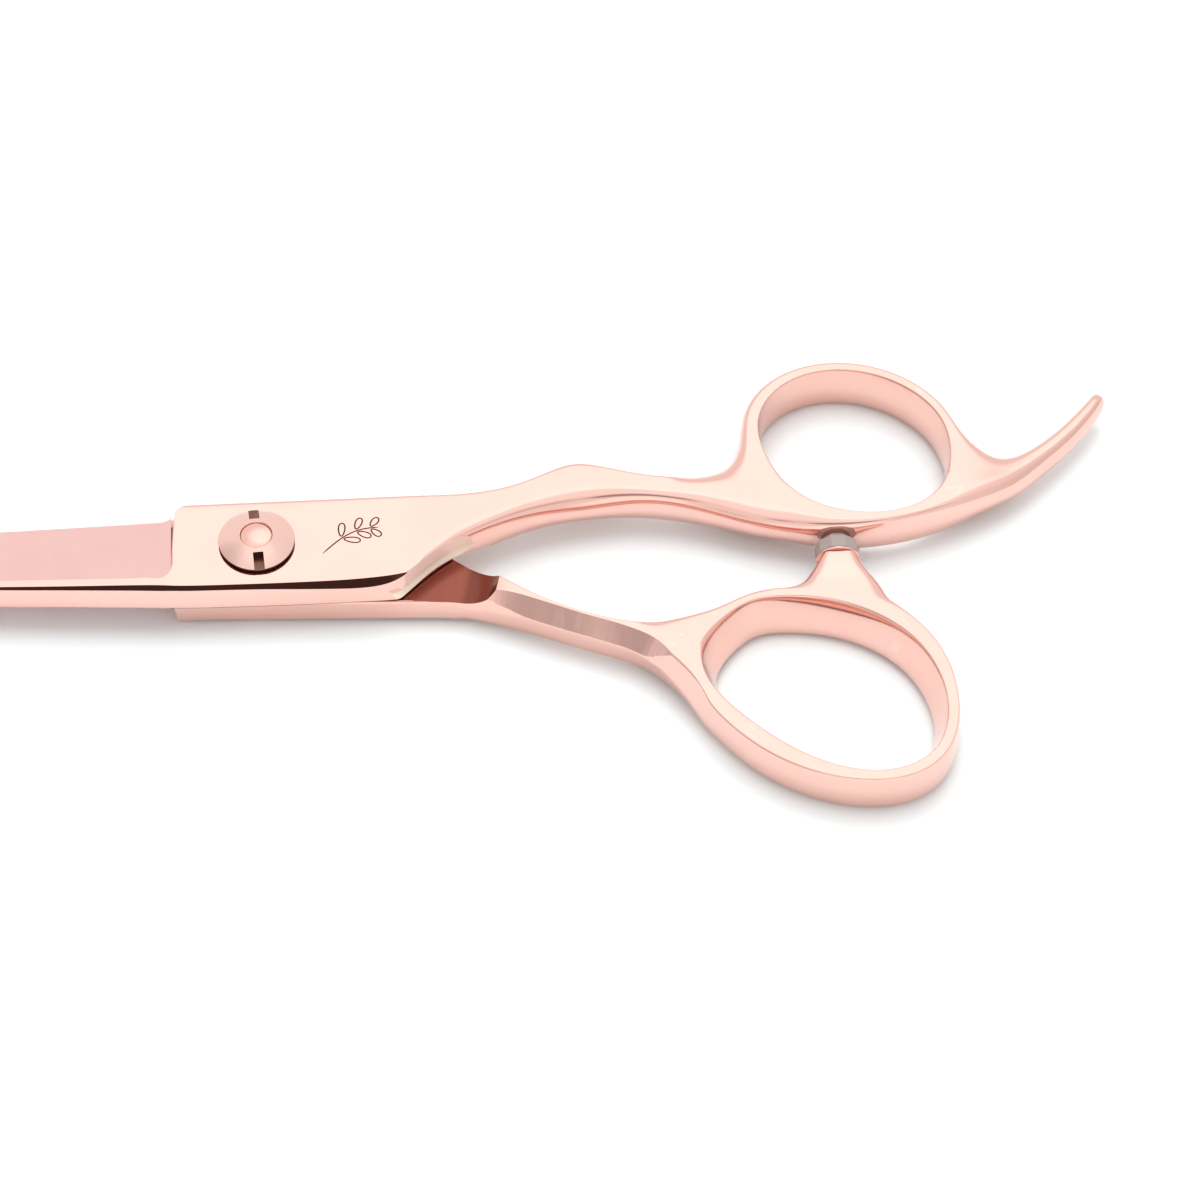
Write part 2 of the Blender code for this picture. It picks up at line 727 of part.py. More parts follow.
def main():
    clear_scene()
    parts = new_collection("hair_cutting_shears")
    cutters = new_collection("cutters")
    front = build_front(parts)
    rear = build_rear(parts)
    front_rows = [row[:4] for row in FRONT_BLADE]
    rear_rows = [(x, -right, -left, thick) for x, left, right, thick, _ in REAR_BLADE]
    cut(front, grind_cutter("front_grind", front_rows, cutters, rear=False))
    cut(rear, grind_cutter("rear_grind", rear_rows, cutters, rear=True))
    pocket = pocket_profile()
    cut(rear, as_cutter(turned("rear_pocket", pocket, 96, cutters)))
    cut(front, as_cutter(turned("front_pocket", flip_profile(pocket), 96, cutters)))
    bore_halves(front, rear, cutters)
    build_stud(parts, cutters)
    build_disc(parts, cutters)
    build_washers(parts)
    build_bumper(rear, parts, cutters)
    looks = {
        "front_half": ("rose_gold_steel", (0.93, 0.66, 0.56), 1.0, 0.12),
        "rear_half": ("rose_gold_steel_rear", (0.93, 0.66, 0.56), 1.0, 0.12),
        "pivot_stud": ("rose_gold_stud", (0.90, 0.62, 0.52), 1.0, 0.2),
        "tension_disc": ("rose_gold_disc", (0.93, 0.66, 0.56), 1.0, 0.15),
        "pivot_bush": ("bush_brass", (0.80, 0.62, 0.30), 1.0, 0.3),
        "thrust_washer": ("thrust_washer_plastic", (0.85, 0.84, 0.80), 0.0, 0.45),
        "spring_washer": ("spring_steel", (0.60, 0.60, 0.62), 1.0, 0.3),
        "pressure_washer": ("pressure_washer_plastic", (0.15, 0.15, 0.16), 0.0, 0.5),
        "bumper": ("bumper_silicone", (0.62, 0.56, 0.55), 0.0, 0.3),
        "bumper_collar": ("rose_gold_collar", (0.93, 0.66, 0.56), 1.0, 0.15),
        "bumper_stud": ("stud_steel", (0.62, 0.61, 0.60), 1.0, 0.3),
    }
    for name, look in looks.items():
        bpy.data.objects[name].data.materials.append(material(*look))


main()
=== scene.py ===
"""Looks of the hair cutting shears: polished halves, pivot hardware, bumper, floor, light and camera."""

import math

import bmesh
import bpy
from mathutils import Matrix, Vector


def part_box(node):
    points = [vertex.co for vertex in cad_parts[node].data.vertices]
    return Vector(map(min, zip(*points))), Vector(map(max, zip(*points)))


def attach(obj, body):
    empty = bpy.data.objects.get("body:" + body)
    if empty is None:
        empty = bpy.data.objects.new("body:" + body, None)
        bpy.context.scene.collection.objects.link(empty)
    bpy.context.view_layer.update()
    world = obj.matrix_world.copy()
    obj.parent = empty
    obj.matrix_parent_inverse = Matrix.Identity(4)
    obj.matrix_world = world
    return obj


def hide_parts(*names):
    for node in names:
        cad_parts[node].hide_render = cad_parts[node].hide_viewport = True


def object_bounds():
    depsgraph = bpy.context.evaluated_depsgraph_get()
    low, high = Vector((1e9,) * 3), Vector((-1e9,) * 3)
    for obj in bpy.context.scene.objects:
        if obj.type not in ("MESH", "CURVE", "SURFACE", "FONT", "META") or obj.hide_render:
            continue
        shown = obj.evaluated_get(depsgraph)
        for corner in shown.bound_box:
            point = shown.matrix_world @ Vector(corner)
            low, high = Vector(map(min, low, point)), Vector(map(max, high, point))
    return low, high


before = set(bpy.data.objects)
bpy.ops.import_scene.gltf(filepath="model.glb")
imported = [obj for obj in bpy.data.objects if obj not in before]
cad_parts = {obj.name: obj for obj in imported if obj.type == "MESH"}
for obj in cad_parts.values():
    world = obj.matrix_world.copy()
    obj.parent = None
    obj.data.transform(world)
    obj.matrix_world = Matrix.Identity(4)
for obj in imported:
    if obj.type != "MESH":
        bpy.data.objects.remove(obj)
cad_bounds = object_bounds()

MM = 0.001
SUBDIVISION = 4
SWEEP_STEPS = 6
MERGE_DISTANCE = 0.005
ROSE = (0.89, 0.555, 0.485)

# Levels along the pivot axis, in millimetres like every dimension below.
RIDE_REAR = 3.75
RIDE_FRONT = 3.85
FRONT_FACE = 7.0
MIRROR_Z = RIDE_REAR + RIDE_FRONT
BACK_FACE = 0.6
LOOP_TOP = 6.2
LOOP_BASE = 0.05
RIDE_POCKET = 0.05
THRUST_FLOOR = 3.35
THRUST_TOP = 4.25

# Ends of the cutters, clear of the metal.
BELOW_FRONT = 3.0
ABOVE_REAR = 5.0
ABOVE_FRONT = 8.0
ABOVE_ALL = 9.0

# Blade.
BLOCK_DEPTH = 3.15
TIP_X = -74.0
HEEL_X = -8.7
EDGE_LAND = 0.15
SPINE_BAND = 1.95
EDGE_OVERCUT = 1.5
HEEL_RADIUS = 2.3
HEEL_LEAN = 0.9
HEEL_CORNER = 1.3
HEEL_LIFT = 0.8
WALL_LEAN = ((TIP_X, 0.6), (0.0, 0.6), (8.0, 0.35), (15.6, 0.2))
POCKET_RADIUS = 23.2
SCOOP_RADIUS = 4.8

# Loops: centre, half axes and tilt in degrees of the rim ellipses in plan.
FINGER_LOOP = (67.75, 11.75, 11.4, 9.7, -36.0)
THUMB_LOOP = (61.95, -21.4, 15.0, 10.4, -35.4)
FINGER_FLARE = 0.45
THUMB_FLARE = 1.5
HOLE_WAIST = 0.28
JOIN_WAIST = 1.9

# First sections of the patches where branches join: the finger loop on the front chain, the thumb loop
# on the rear chain, and the bumper's neck, counted from the rear chain's end.
FINGER_JOINS = (19, 26)
THUMB_JOIN = 17
NECK_FROM_END = 5

# Pivot hardware.
SQUARE = 4.6
THRUST_WELL = 4.5
WELL_RADIUS = 3.9
WELL_FLOOR = 5.45
BUSH_RADIUS = 3.4
FIT = 0.05
SLOT_WIDTH = 1.15
SLOT_START = 2.35
SLOT_FLOOR = 7.42
SLOT_ANGLE = math.radians(94.0)
THREAD_RADIUS = 1.75
STUD_SHANK = 2.2
PIN_RADIUS = 0.8
NECK_END = -3.55
STUD_DEPTH = 3.5

# Points round a section, from the top left corner; the same seen from its other side; the corners
# above and below each side's middle point; and the creases that run down a sharp corner of a chain.
CORNERS = ("tl", "tm", "tr", "rm", "br", "bm", "bl", "lm")
TURNED_CORNERS = ("tr", "tm", "tl", "lm", "bl", "bm", "br", "rm")
SIDES = {"lm": ("tl", "bl"), "rm": ("tr", "br")}
CORNER_CREASES = {"lm": (1.0, 1.0), "rm": (0.0, 0.5)}


# ------------------------------------------------------------------ materials


class Look:
    """A node material around one Principled shader."""

    def __init__(self, name):
        self.material = bpy.data.materials.new(name)
        self.material.use_nodes = True
        self.tree = self.material.node_tree
        self.shader = self.tree.nodes["Principled BSDF"]
        self.place = self.node("ShaderNodeTexCoord").outputs["Object"]

    def put(self, socket, value):
        """Links another node's output to a socket, or sets a plain value on it."""
        if isinstance(value, bpy.types.NodeSocket):
            self.tree.links.new(value, socket)
        else:
            socket.default_value = value

    def node(self, kind, settings=None, **inputs):
        made = self.tree.nodes.new(kind)
        for name, value in (settings or {}).items():
            setattr(made, name, value)
        for name, value in inputs.items():
            self.put(made.inputs[name.replace("_", " ")], value)
        return made

    def noise(self, scale, stretch=(1.0, 1.0, 1.0), detail=3.0, offset=0.0):
        """Noise with scale cells per millimetre, drawn out along the axes that have a small stretch."""
        mapping = self.node(
            "ShaderNodeMapping",
            Vector=self.place,
            Location=(offset, offset * 0.7, offset * 1.3),
            Scale=tuple(scale * s / MM for s in stretch),
        )
        made = self.node("ShaderNodeTexNoise", Vector=mapping.outputs["Vector"], Scale=1.0, Detail=detail)
        made.inputs["Roughness"].default_value = 0.55
        return made.outputs["Fac"]

    def ramp(self, factor, low, high, first=0.0, last=1.0):
        """Maps factor from low..high to first..last, held outside that range."""
        made = self.node("ShaderNodeMapRange", {"interpolation_type": "SMOOTHSTEP"}, Value=factor)
        for name, value in (("From Min", low), ("From Max", high), ("To Min", first), ("To Max", last)):
            made.inputs[name].default_value = value
        return made.outputs["Result"]

    def blend(self, factor, first, last):
        """Mixes two colours, each a plain one or another node's output."""
        made = self.node("ShaderNodeMix", {"data_type": "RGBA"}, Factor=factor)
        sockets = [s for s in made.inputs if s.type == "RGBA"]
        for socket, value in zip(sockets, (first, last)):
            self.put(socket, value if isinstance(value, bpy.types.NodeSocket) else (*value, 1.0))
        return next(s for s in made.outputs if s.type == "RGBA")

    def mottle(self, factor, low, high, colour, shift):
        """The colour, turning to a shifted tint of it where factor rises from low to high."""
        return self.blend(self.ramp(factor, low, high), colour, tint(colour, shift))

    def sum(self, *values):
        total = values[0]
        for value in values[1:]:
            made = self.node("ShaderNodeMath", {"operation": "ADD"})
            self.put(made.inputs[0], total)
            self.put(made.inputs[1], value)
            total = made.outputs["Value"]
        return total

    def rounded(self, radius):
        """Normals that round the edges off, by a radius in millimetres."""
        return self.node("ShaderNodeBevel", {"samples": 4}, Radius=radius * MM).outputs["Normal"]

    def bump(self, height, strength, distance, below=None):
        made = self.node("ShaderNodeBump", Height=height, Strength=strength, Distance=distance * MM)
        if below is not None:
            self.put(made.inputs["Normal"], below)
        return made.outputs["Normal"]

    def set(self, **inputs):
        for name, value in inputs.items():
            self.put(self.shader.inputs[name.replace("_", " ")], value)


def tint(colour, factor):
    return tuple(min(1.0, c * f) for c, f in zip(colour, factor))


def polished(name, colour, rough=0.045, grain=(0.12, 1.0, 1.0), edge=0.07):
    """Mirror-polished coated steel: haze in patches, fine directional polish marks, worn edges."""
    look = Look(name)
    haze = look.ramp(look.noise(0.09, detail=4.0), 0.35, 0.7)
    marks = look.noise(9.0, grain, detail=2.0, offset=3.1)
    hairs = look.noise(9.0, tuple(g * 0.3 for g in grain), detail=1.0, offset=9.7)
    pointed = look.node("ShaderNodeNewGeometry").outputs["Pointiness"]
    worn = look.ramp(pointed, 0.53, 0.6)
    base = look.blend(haze, colour, tint(colour, (0.985, 0.96, 0.95)))
    base = look.blend(worn, base, tint(colour, (1.03, 1.06, 1.07)))
    hazy = look.ramp(haze, 0.0, 1.0, rough, rough * 1.6)
    rubbed = look.ramp(worn, 0.0, 1.0, 0.0, 0.05)
    scuffed = look.ramp(look.ramp(hairs, 0.55, 0.8), 0.0, 1.0, 0.0, 0.02)
    normal = look.bump(marks, 0.008, 0.02, look.rounded(edge))
    look.set(Base_Color=base, Metallic=1.0, Roughness=look.sum(hazy, rubbed, scuffed), Normal=normal)
    return look.material


def ground(name, colour, rough=0.09):
    """Ground and buffed blade face: fine marks that run across the blade."""
    look = Look(name)
    marks = look.noise(7.0, (1.0, 0.05, 0.05), detail=3.0)
    broad = look.noise(0.25, (1.0, 0.2, 1.0), detail=2.0, offset=5.0)
    base = look.mottle(broad, 0.3, 0.7, colour, (0.98, 0.95, 0.95))
    fine = look.ramp(marks, 0.3, 0.7, rough * 0.8, rough * 1.3)
    normal = look.bump(marks, 0.03, 0.01, look.rounded(0.05))
    look.set(Base_Color=base, Metallic=1.0, Roughness=fine, Normal=normal)
    return look.material


def satin_painted_light(name, colour):
    """Satin coat, paler and softer than the polished faces beside it: a painted highlight on a broken edge
    and painted light on a wall.
    """
    look = Look(name)
    marks = look.noise(8.0, (0.3, 0.3, 1.0), detail=2.0)
    base = look.mottle(marks, 0.3, 0.7, colour, (0.95, 0.93, 0.92))
    rough = look.ramp(marks, 0.3, 0.7, 0.3, 0.42)
    look.set(Base_Color=base, Metallic=0.1, Roughness=rough, Normal=look.bump(marks, 0.03, 0.01))
    return look.material


def plain_metal(name, colour, rough, turning=0.0):
    """Machined metal with stains, and with turning rings about the pivot axis if asked for."""
    look = Look(name)
    base = look.mottle(look.noise(0.8, detail=4.0), 0.3, 0.75, colour, (0.82, 0.78, 0.74))
    if turning:
        rings = look.node(
            "ShaderNodeTexWave",
            {"wave_type": "RINGS", "rings_direction": "Z"},
            Vector=look.place,
            Scale=turning / MM,
            Distortion=0.6,
        )
        height = rings.outputs["Fac"]
    else:
        height = look.noise(12.0, (1.0, 1.0, 0.2), detail=2.0, offset=1.7)
    worn = look.ramp(height, 0.2, 0.8, rough * 0.8, rough * 1.35)
    look.set(Base_Color=base, Metallic=1.0, Roughness=worn, Normal=look.bump(height, 0.08, 0.01))
    return look.material


def bearing_plastic(name, colour):
    """Dull speckled plastic of the washers."""
    look = Look(name)
    speckle = look.noise(3.0, detail=4.0)
    base = look.mottle(speckle, 0.35, 0.7, colour, (0.86, 0.85, 0.83))
    rough = look.ramp(look.noise(1.2, offset=4.0), 0.3, 0.7, 0.38, 0.55)
    look.set(Base_Color=base, Roughness=rough, Normal=look.bump(speckle, 0.1, 0.01))
    return look.material


def silicone(name, colour):
    """Cloudy grey silicone with a faint bloom of dust and moulding grain."""
    look = Look(name)
    base = look.mottle(look.noise(1.4, detail=5.0), 0.35, 0.75, colour, (1.06, 1.06, 1.06))
    rough = look.ramp(look.noise(2.4, offset=2.0), 0.3, 0.7, 0.14, 0.26)
    grain = look.noise(2.0, detail=2.0, offset=8.0)
    look.set(Base_Color=base, Roughness=rough, Normal=look.bump(grain, 0.02, 0.01))
    look.set(Transmission_Weight=0.35, IOR=1.41)
    return look.material


def engraved(name):
    """Blackened floor of an engraved line."""
    look = Look(name)
    soot = look.ramp(look.noise(8.0, detail=3.0), 0.3, 0.7)
    base = look.blend(soot, (0.05, 0.026, 0.02), (0.1, 0.055, 0.045))
    rough = look.ramp(look.noise(5.0, offset=3.0), 0.3, 0.7, 0.35, 0.6)
    look.set(Base_Color=base, Metallic=0.6, Roughness=rough)
    return look.material


# -------------------------------------------------------------------- meshes


def add_object(name, mesh, smooth=True):
    item = bpy.data.objects.new(name, mesh)
    bpy.context.scene.collection.objects.link(item)
    for polygon in mesh.polygons:
        polygon.use_smooth = smooth
    return item


def mesh_from(bm, name):
    bmesh.ops.recalc_face_normals(bm, faces=bm.faces)
    for vertex in bm.verts:
        vertex.co *= MM
    mesh = bpy.data.meshes.new(name)
    bm.to_mesh(mesh)
    bm.free()
    return mesh


def paint(item, material):
    item.data.materials.clear()
    item.data.materials.append(material)
    return item


def bake(item):
    """Replaces the mesh by its evaluated result and drops the modifiers."""
    graph = bpy.context.evaluated_depsgraph_get()
    graph.update()
    mesh = bpy.data.meshes.new_from_object(item.evaluated_get(graph))
    item.modifiers.clear()
    item.data = mesh
    return item


def carve(item, cutters, operation="DIFFERENCE"):
    for cutter in cutters:
        step = item.modifiers.new("carve", "BOOLEAN")
        step.operation = operation
        step.solver = "EXACT"
        step.material_mode = "TRANSFER"
        step.object = cutter
    bake(item)
    for cutter in cutters:
        bpy.data.objects.remove(cutter)
    return item


def finish_edges(item, angle=50.0):
    """Sharp edges where two finishes meet or the surface turns hard, and area-weighted normals."""
    bm = bmesh.new()
    bm.from_mesh(item.data)
    for face in bm.faces:
        face.smooth = True
    for edge in bm.edges:
        faces = edge.link_faces
        hard = len(faces) == 2 and (
            faces[0].material_index != faces[1].material_index
            or faces[0].normal.angle(faces[1].normal, 0.0) > math.radians(angle)
        )
        edge.smooth = not hard
    bm.to_mesh(item.data)
    bm.free()
    weigh = item.modifiers.new("weigh", "WEIGHTED_NORMAL")
    weigh.mode = "FACE_AREA"
    weigh.keep_sharp = True
    bake(item)
    return item


def turned(name, profile, steps, material):
    """Solid of revolution about Z, baked. The profile runs from top to bottom down its outer side."""
    mesh = bpy.data.meshes.new(name)
    points = [(radius * MM, 0.0, height * MM) for radius, height in profile]
    edges = [(k, k + 1) for k in range(len(points) - 1)]
    if profile[0][0] > 0.0:
        edges.append((len(points) - 1, 0))
    mesh.from_pydata(points, edges, [])
    item = add_object(name, mesh)
    turn = item.modifiers.new("turn", "SCREW")
    turn.axis = "Z"
    turn.angle = math.tau
    turn.steps = steps
    turn.render_steps = steps
    turn.use_merge_vertices = True
    turn.merge_threshold = MERGE_DISTANCE * MM
    bake(item)
    return paint(item, material)


def box(name, low, high, material):
    bm = bmesh.new()
    bmesh.ops.create_cube(bm, size=1.0)
    for vertex in bm.verts:
        for axis in range(3):
            vertex.co[axis] = (low[axis] + high[axis]) / 2 + vertex.co[axis] * (high[axis] - low[axis])
    return paint(add_object(name, mesh_from(bm, name), smooth=False), material)


def arc(centre, radius, start, end, count):
    """Profile points on a circle, from one angle to another, in degrees from the radial axis."""
    made = []
    for step in range(count + 1):
        turn = math.radians(start + (end - start) * step / count)
        made.append((centre[0] + radius * math.cos(turn), centre[1] + radius * math.sin(turn)))
    return made


def interpolate(rows, x, column):
    """Value of a column at x, between the rows of a table that starts each row with its x."""
    for before, after in zip(rows, rows[1:]):
        if before[0] <= x <= after[0]:
            share = (x - before[0]) / (after[0] - before[0])
            return before[column] + (after[column] - before[column]) * share
    return rows[0][column]


def smooth_line(points, count):
    """Catmull-Rom curve through the points, with count pieces between neighbours."""
    made = []
    for index in range(len(points) - 1):
        p0 = Vector(points[max(index - 1, 0)])
        p1 = Vector(points[index])
        p2 = Vector(points[index + 1])
        p3 = Vector(points[min(index + 2, len(points) - 1)])
        for step in range(count):
            t = step / count
            slope = (p2 - p0) * t
            bend = (2 * p0 - 5 * p1 + 4 * p2 - p3) * t**2
            twist = (3 * p1 - p0 - 3 * p2 + p3) * t**3
            made.append(0.5 * (2 * p1 + slope + bend + twist))
    made.append(Vector(points[-1]))
    return made


def join_rings(bm, rings, closed=False):
    """Joins rings of vertices into a tube with end faces, or into a closed one."""
    pairs = list(zip(rings, rings[1:]))
    if closed:
        pairs.append((rings[-1], rings[0]))
    else:
        bm.faces.new(rings[0])
        bm.faces.new(rings[-1])
    for here, after in pairs:
        for k in range(len(here)):
            n = (k + 1) % len(here)
            bm.faces.new((here[k], here[n], after[n], after[k]))


# ------------------------------------------------------------------ sections


def creases(every=0.0, **named):
    values = {key: every for key in ("tl", "tr", "br", "bl")}
    values.update({"lm": 0.0, "rm": 0.0})
    values.update(named)
    return values


def section(left, right, top, bottom, inset=(0.0, 0.0), crease=None, flare=(0.0, 0.0), rise=None):
    """An eight-point section. left and right are plan points at mid height.

    inset pulls the top and bottom corners towards the middle, as shares of the width.
    flare moves the top left and top right corners further inwards, in millimetres.
    rise puts the right middle point at a share of the section's height.
    """
    left = Vector(left)
    right = Vector(right)
    across = right - left
    unit = across.normalized()
    middle = (left + right) / 2
    height = (top + bottom) / 2
    top_left = left + across * inset[0] + unit * flare[0]
    top_right = right - across * inset[0] - unit * flare[1]
    low_left = left + across * inset[1]
    low_right = right - across * inset[1]
    points = {
        "tl": (*top_left, top),
        "tm": (*((top_left + top_right) / 2), top),
        "tr": (*top_right, top),
        "rm": (*right, height),
        "br": (*low_right, bottom),
        "bm": (*middle, bottom),
        "bl": (*low_left, bottom),
        "lm": (*left, height),
    }
    made = {key: Vector(value) for key, value in points.items()}
    if rise is not None:
        low = made["br"].z
        made["rm"].z = low + (made["tr"].z - low) * rise
    made["crease"] = crease or creases()
    made["corner"] = ""
    return made


def at_thumb_join(here, top_left):
    """A section where the thumb loop closes: its top left corner moved, its left middle point low."""
    here["tl"] = Vector((*top_left, here["tl"].z))
    here["tm"] = (here["tl"] + here["tr"]) / 2
    here["lm"].z = JOIN_WAIST
    return here


def ellipse_point(loop, degrees, grow=0.0):
    """Plan point of a loop's rim ellipse, grown outwards along its half axes."""
    x, y, half_long, half_short, tilt = loop
    phi = math.radians(degrees)
    turn = math.radians(tilt)
    u = (half_long + grow) * math.cos(phi)
    v = (half_short + grow) * math.sin(phi)
    return (x + u * math.cos(turn) - v * math.sin(turn), y + u * math.sin(turn) + v * math.cos(turn))


def through_points(chain):
    """Moves the inner sections outwards so that the subdivided surface passes through the given points."""
    moved = []
    for index, here in enumerate(chain):
        if index in (0, len(chain) - 1) or here["corner"]:
            moved.append(here)
            continue
        before = chain[index - 1]
        after = chain[index + 1]
        fresh = dict(here)
        for key in CORNERS:
            fresh[key] = here[key] + (here[key] * 2 - before[key] - after[key]) / 6
        moved.append(fresh)
    return moved


class Cage:
    """Coarse control mesh made of chains of eight-point sections."""

    def __init__(self):
        self.bm = bmesh.new()
        self.crease = self.bm.edges.layers.float.new("crease_edge")

    def place(self, chain):
        placed = []
        for here in chain:
            ring = {key: self.bm.verts.new(here[key]) for key in CORNERS}
            ring["crease"] = here["crease"]
            ring["corner"] = here["corner"]
            placed.append(ring)
        return placed

    def mark(self, first, second, value):
        edge = self.bm.edges.get((first, second))
        if edge:
            edge[self.crease] = value

    def sides(self, placed, gaps=()):
        """Joins neighbouring sections. gaps lists (first section, side) patches two sections long."""
        open_quads = {(index, key) for start, key in gaps for index in (start, start + 1)}
        for index, (here, after) in enumerate(zip(placed, placed[1:])):
            for k, key in enumerate(CORNERS):
                following = CORNERS[(k + 1) % 8]
                side = {"tr": "rm", "rm": "rm", "bl": "lm", "lm": "lm"}.get(key, "")
                if (index, side) not in open_quads:
                    self.bm.faces.new((here[key], here[following], after[following], after[key]))
            for key in here["crease"]:
                self.mark(here[key], after[key], min(here["crease"][key], after["crease"][key]))
        for start, key in gaps:
            self.bm.verts.remove(placed[start + 1][key])
        for ring in placed:
            if ring["corner"]:
                key = ring["corner"]
                upper, lower = SIDES[key]
                above, below = CORNER_CREASES[key]
                self.mark(ring[upper], ring[key], above)
                self.mark(ring[key], ring[lower], below)

    def cap(self, ring, crease=0.0):
        centre = sum((ring[key].co for key in CORNERS), Vector()) / 8
        hub = self.bm.verts.new(centre)
        for k in range(0, 8, 2):
            before = CORNERS[k - 1]
            here = CORNERS[k]
            after = CORNERS[(k + 1) % 8]
            self.bm.faces.new((ring[before], ring[here], ring[after], hub))
        for k, key in enumerate(CORNERS):
            self.mark(ring[key], ring[CORNERS[(k + 1) % 8]], crease)

    def bridge(self, placed, start, key, ring, turned=False):
        """Joins a branch's section to the open patch at a section, on its left or right side."""
        upper, lower = SIDES[key]
        first, middle, last = placed[start : start + 3]
        rim = [first[upper], middle[upper], last[upper], last[key]]
        rim += [last[lower], middle[lower], first[lower], first[key]]
        order = TURNED_CORNERS if turned else CORNERS
        branch = [ring[name] for name in order]
        for k in range(8):
            n = (k + 1) % 8
            self.bm.faces.new((rim[k], rim[n], branch[n], branch[k]))
        for k in (0, 2, 4, 6):
            self.mark(rim[k], branch[k], ring["crease"].get(order[k], 0.0))
        for k in (0, 1, 4, 5):
            self.mark(rim[k], rim[k + 1], 0.0)


def straight_sections(rows, ride_face, side, crease):
    """Blade and pivot block. Each row gives x, left y, right y, thickness and its sharp corner's side.

    side is 1 where the metal lies above the ride face, and -1 where it lies below.
    """
    made = []
    for x, left, right, thick, corner in rows:
        top = ride_face + max(0, side) * thick
        bottom = ride_face + min(0, side) * thick
        lean = interpolate(WALL_LEAN, x, 1) * thick / BLOCK_DEPTH if side > 0 else 0.0
        here = section((x, left), (x, right), top, bottom, crease=crease, flare=(0.0, lean))
        here["corner"] = corner
        made.append(here)
    return made


def loop_section(loop, degrees, wall, flare, top=LOOP_TOP, lip=0.0, hole_left=False, crease=None):
    """A section of a loop: the hole side is on the right, or on the left if hole_left is set."""
    inner = ellipse_point(loop, degrees, -flare - lip)
    outer = ellipse_point(loop, degrees, wall)
    if hole_left:
        made = section(inner, outer, top, LOOP_BASE, (0.08, 0.12), crease, flare=(flare * 0.85, 0.0))
        made["lm"].z = LOOP_BASE + (top - LOOP_BASE) * HOLE_WAIST
        return made
    return section(outer, inner, top, LOOP_BASE, (0.1, 0.12), crease, flare=(0.0, flare * 0.85))


# ---------------------------------------------------------------- front half


FRONT_EDGES = creases(1.0, tl=0.75, br=0.52)
FRONT_BLADE = (
    (TIP_X, 0.3, -0.4, 1.0, ""),
    (-72.0, 1.0, -0.95, 1.1, ""),
    (-65.0, 2.15, -1.85, 1.45, ""),
    (-52.0, 3.75, -3.2, 2.0, ""),
    (-38.0, 4.85, -4.55, 2.5, ""),
    (-24.0, 5.25, -5.6, 2.9, ""),
    (-12.0, 5.6, -6.3, BLOCK_DEPTH, ""),
    (-8.0, 5.7, -6.6, BLOCK_DEPTH, ""),
    (0.0, 5.75, -6.7, BLOCK_DEPTH, ""),
    (8.0, 5.8, -6.7, BLOCK_DEPTH, ""),
    (15.6, 5.85, -6.55, BLOCK_DEPTH, "rm"),
)


def front_chain():
    chain = straight_sections(FRONT_BLADE, RIDE_FRONT, 1, FRONT_EDGES)
    neck = creases(0.9, tl=0.7, tr=0.6)
    shank = creases(0.6, tl=0.6, tr=0.35)
    soft = creases(0.3, tl=0.5, tr=0.25)
    rim = creases(0.0, tl=0.45, tr=0.15)
    chain += [
        section((18.8, 5.85), (18.8, -3.4), FRONT_FACE, 3.7, crease=neck, flare=(0.0, 0.25)),
        section((22.5, 6.0), (22.5, -0.7), FRONT_FACE, 2.6, (0.02, 0.05), shank, (0.0, 0.25)),
        section((27.5, 6.8), (27.5, 1.6), 6.95, 2.0, (0.06, 0.12), soft, (0.0, 0.2)),
        section((32.0, 9.0), (32.0, 3.0), 6.8, 1.8, (0.12, 0.2), rim),
        section((35.6, 10.95), (36.5, 3.6), 6.7, 1.7, (0.15, 0.2), rim),
        section((39.6, 9.95), (40.5, 4.15), 6.6, 1.6, (0.15, 0.2), rim),
        section((44.0, 8.6), (44.5, 4.15), 6.5, 1.5, (0.15, 0.2), rim),
        section((48.5, 8.35), (49.0, 3.2), 6.4, 1.4, (0.14, 0.2), rim),
        section((52.8, 8.8), (53.0, 1.8), 6.3, 1.3, (0.1, 0.18)),
        section((56.2, 7.6), (56.5, 0.7), LOOP_TOP, 1.2, (0.08, 0.18)),
    ]
    # Beside the finger hole: angle on the rim ellipse, growth over it, outer point, inset and top.
    beside_hole = (
        (-112, 0.2, (60.0, -0.1), 0.1, LOOP_TOP),
        (-88, -0.4, (63.0, -0.6), 0.15, LOOP_TOP),
        (-64, -0.7, (67.3, -0.6), 0.18, LOOP_TOP),
        (-40, -0.6, (72.5, 0.2), 0.18, LOOP_TOP),
        (-14, -0.5, (77.6, 1.6), 0.16, LOOP_TOP),
        (12, -0.3, (81.4, 3.1), 0.12, 6.1),
    )
    for degrees, grow, outer, inset, top in beside_hole:
        inner = ellipse_point(FINGER_LOOP, degrees, grow)
        chain.append(section(inner, outer, top, 1.2, (inset, 0.2), creases(tl=0.55)))
    chain += [
        section((80.8, 8.4), (84.4, 4.6), 5.8, 1.3, (0.12, 0.2)),
        section((83.6, 9.3), (86.8, 6.2), 5.5, 1.4, (0.16, 0.2)),
        section((87.3, 11.2), (89.7, 9.0), 5.2, 1.5, (0.18, 0.2)),
        section((91.0, 14.3), (93.2, 12.4), 5.0, 1.7, (0.2, 0.2)),
        section((94.2, 17.8), (96.1, 16.4), 4.8, 1.8, (0.2, 0.2)),
        section((95.2, 19.2), (97.0, 18.2), 4.6, 2.0, (0.25, 0.25)),
    ]
    return chain


def finger_strand():
    """Sections round the finger hole's far side, from the shank to the finger rest."""
    made = []
    for degrees in range(-142, -322, -22):
        wall = 1.75 + 0.7 * max(0.0, math.cos(math.radians(degrees + 150))) ** 2
        flare = FINGER_FLARE * (1.0 + math.cos(math.radians(degrees - 40)))
        made.append(loop_section(FINGER_LOOP, degrees, wall, flare, crease=creases(0.0, tr=0.55)))
    return made


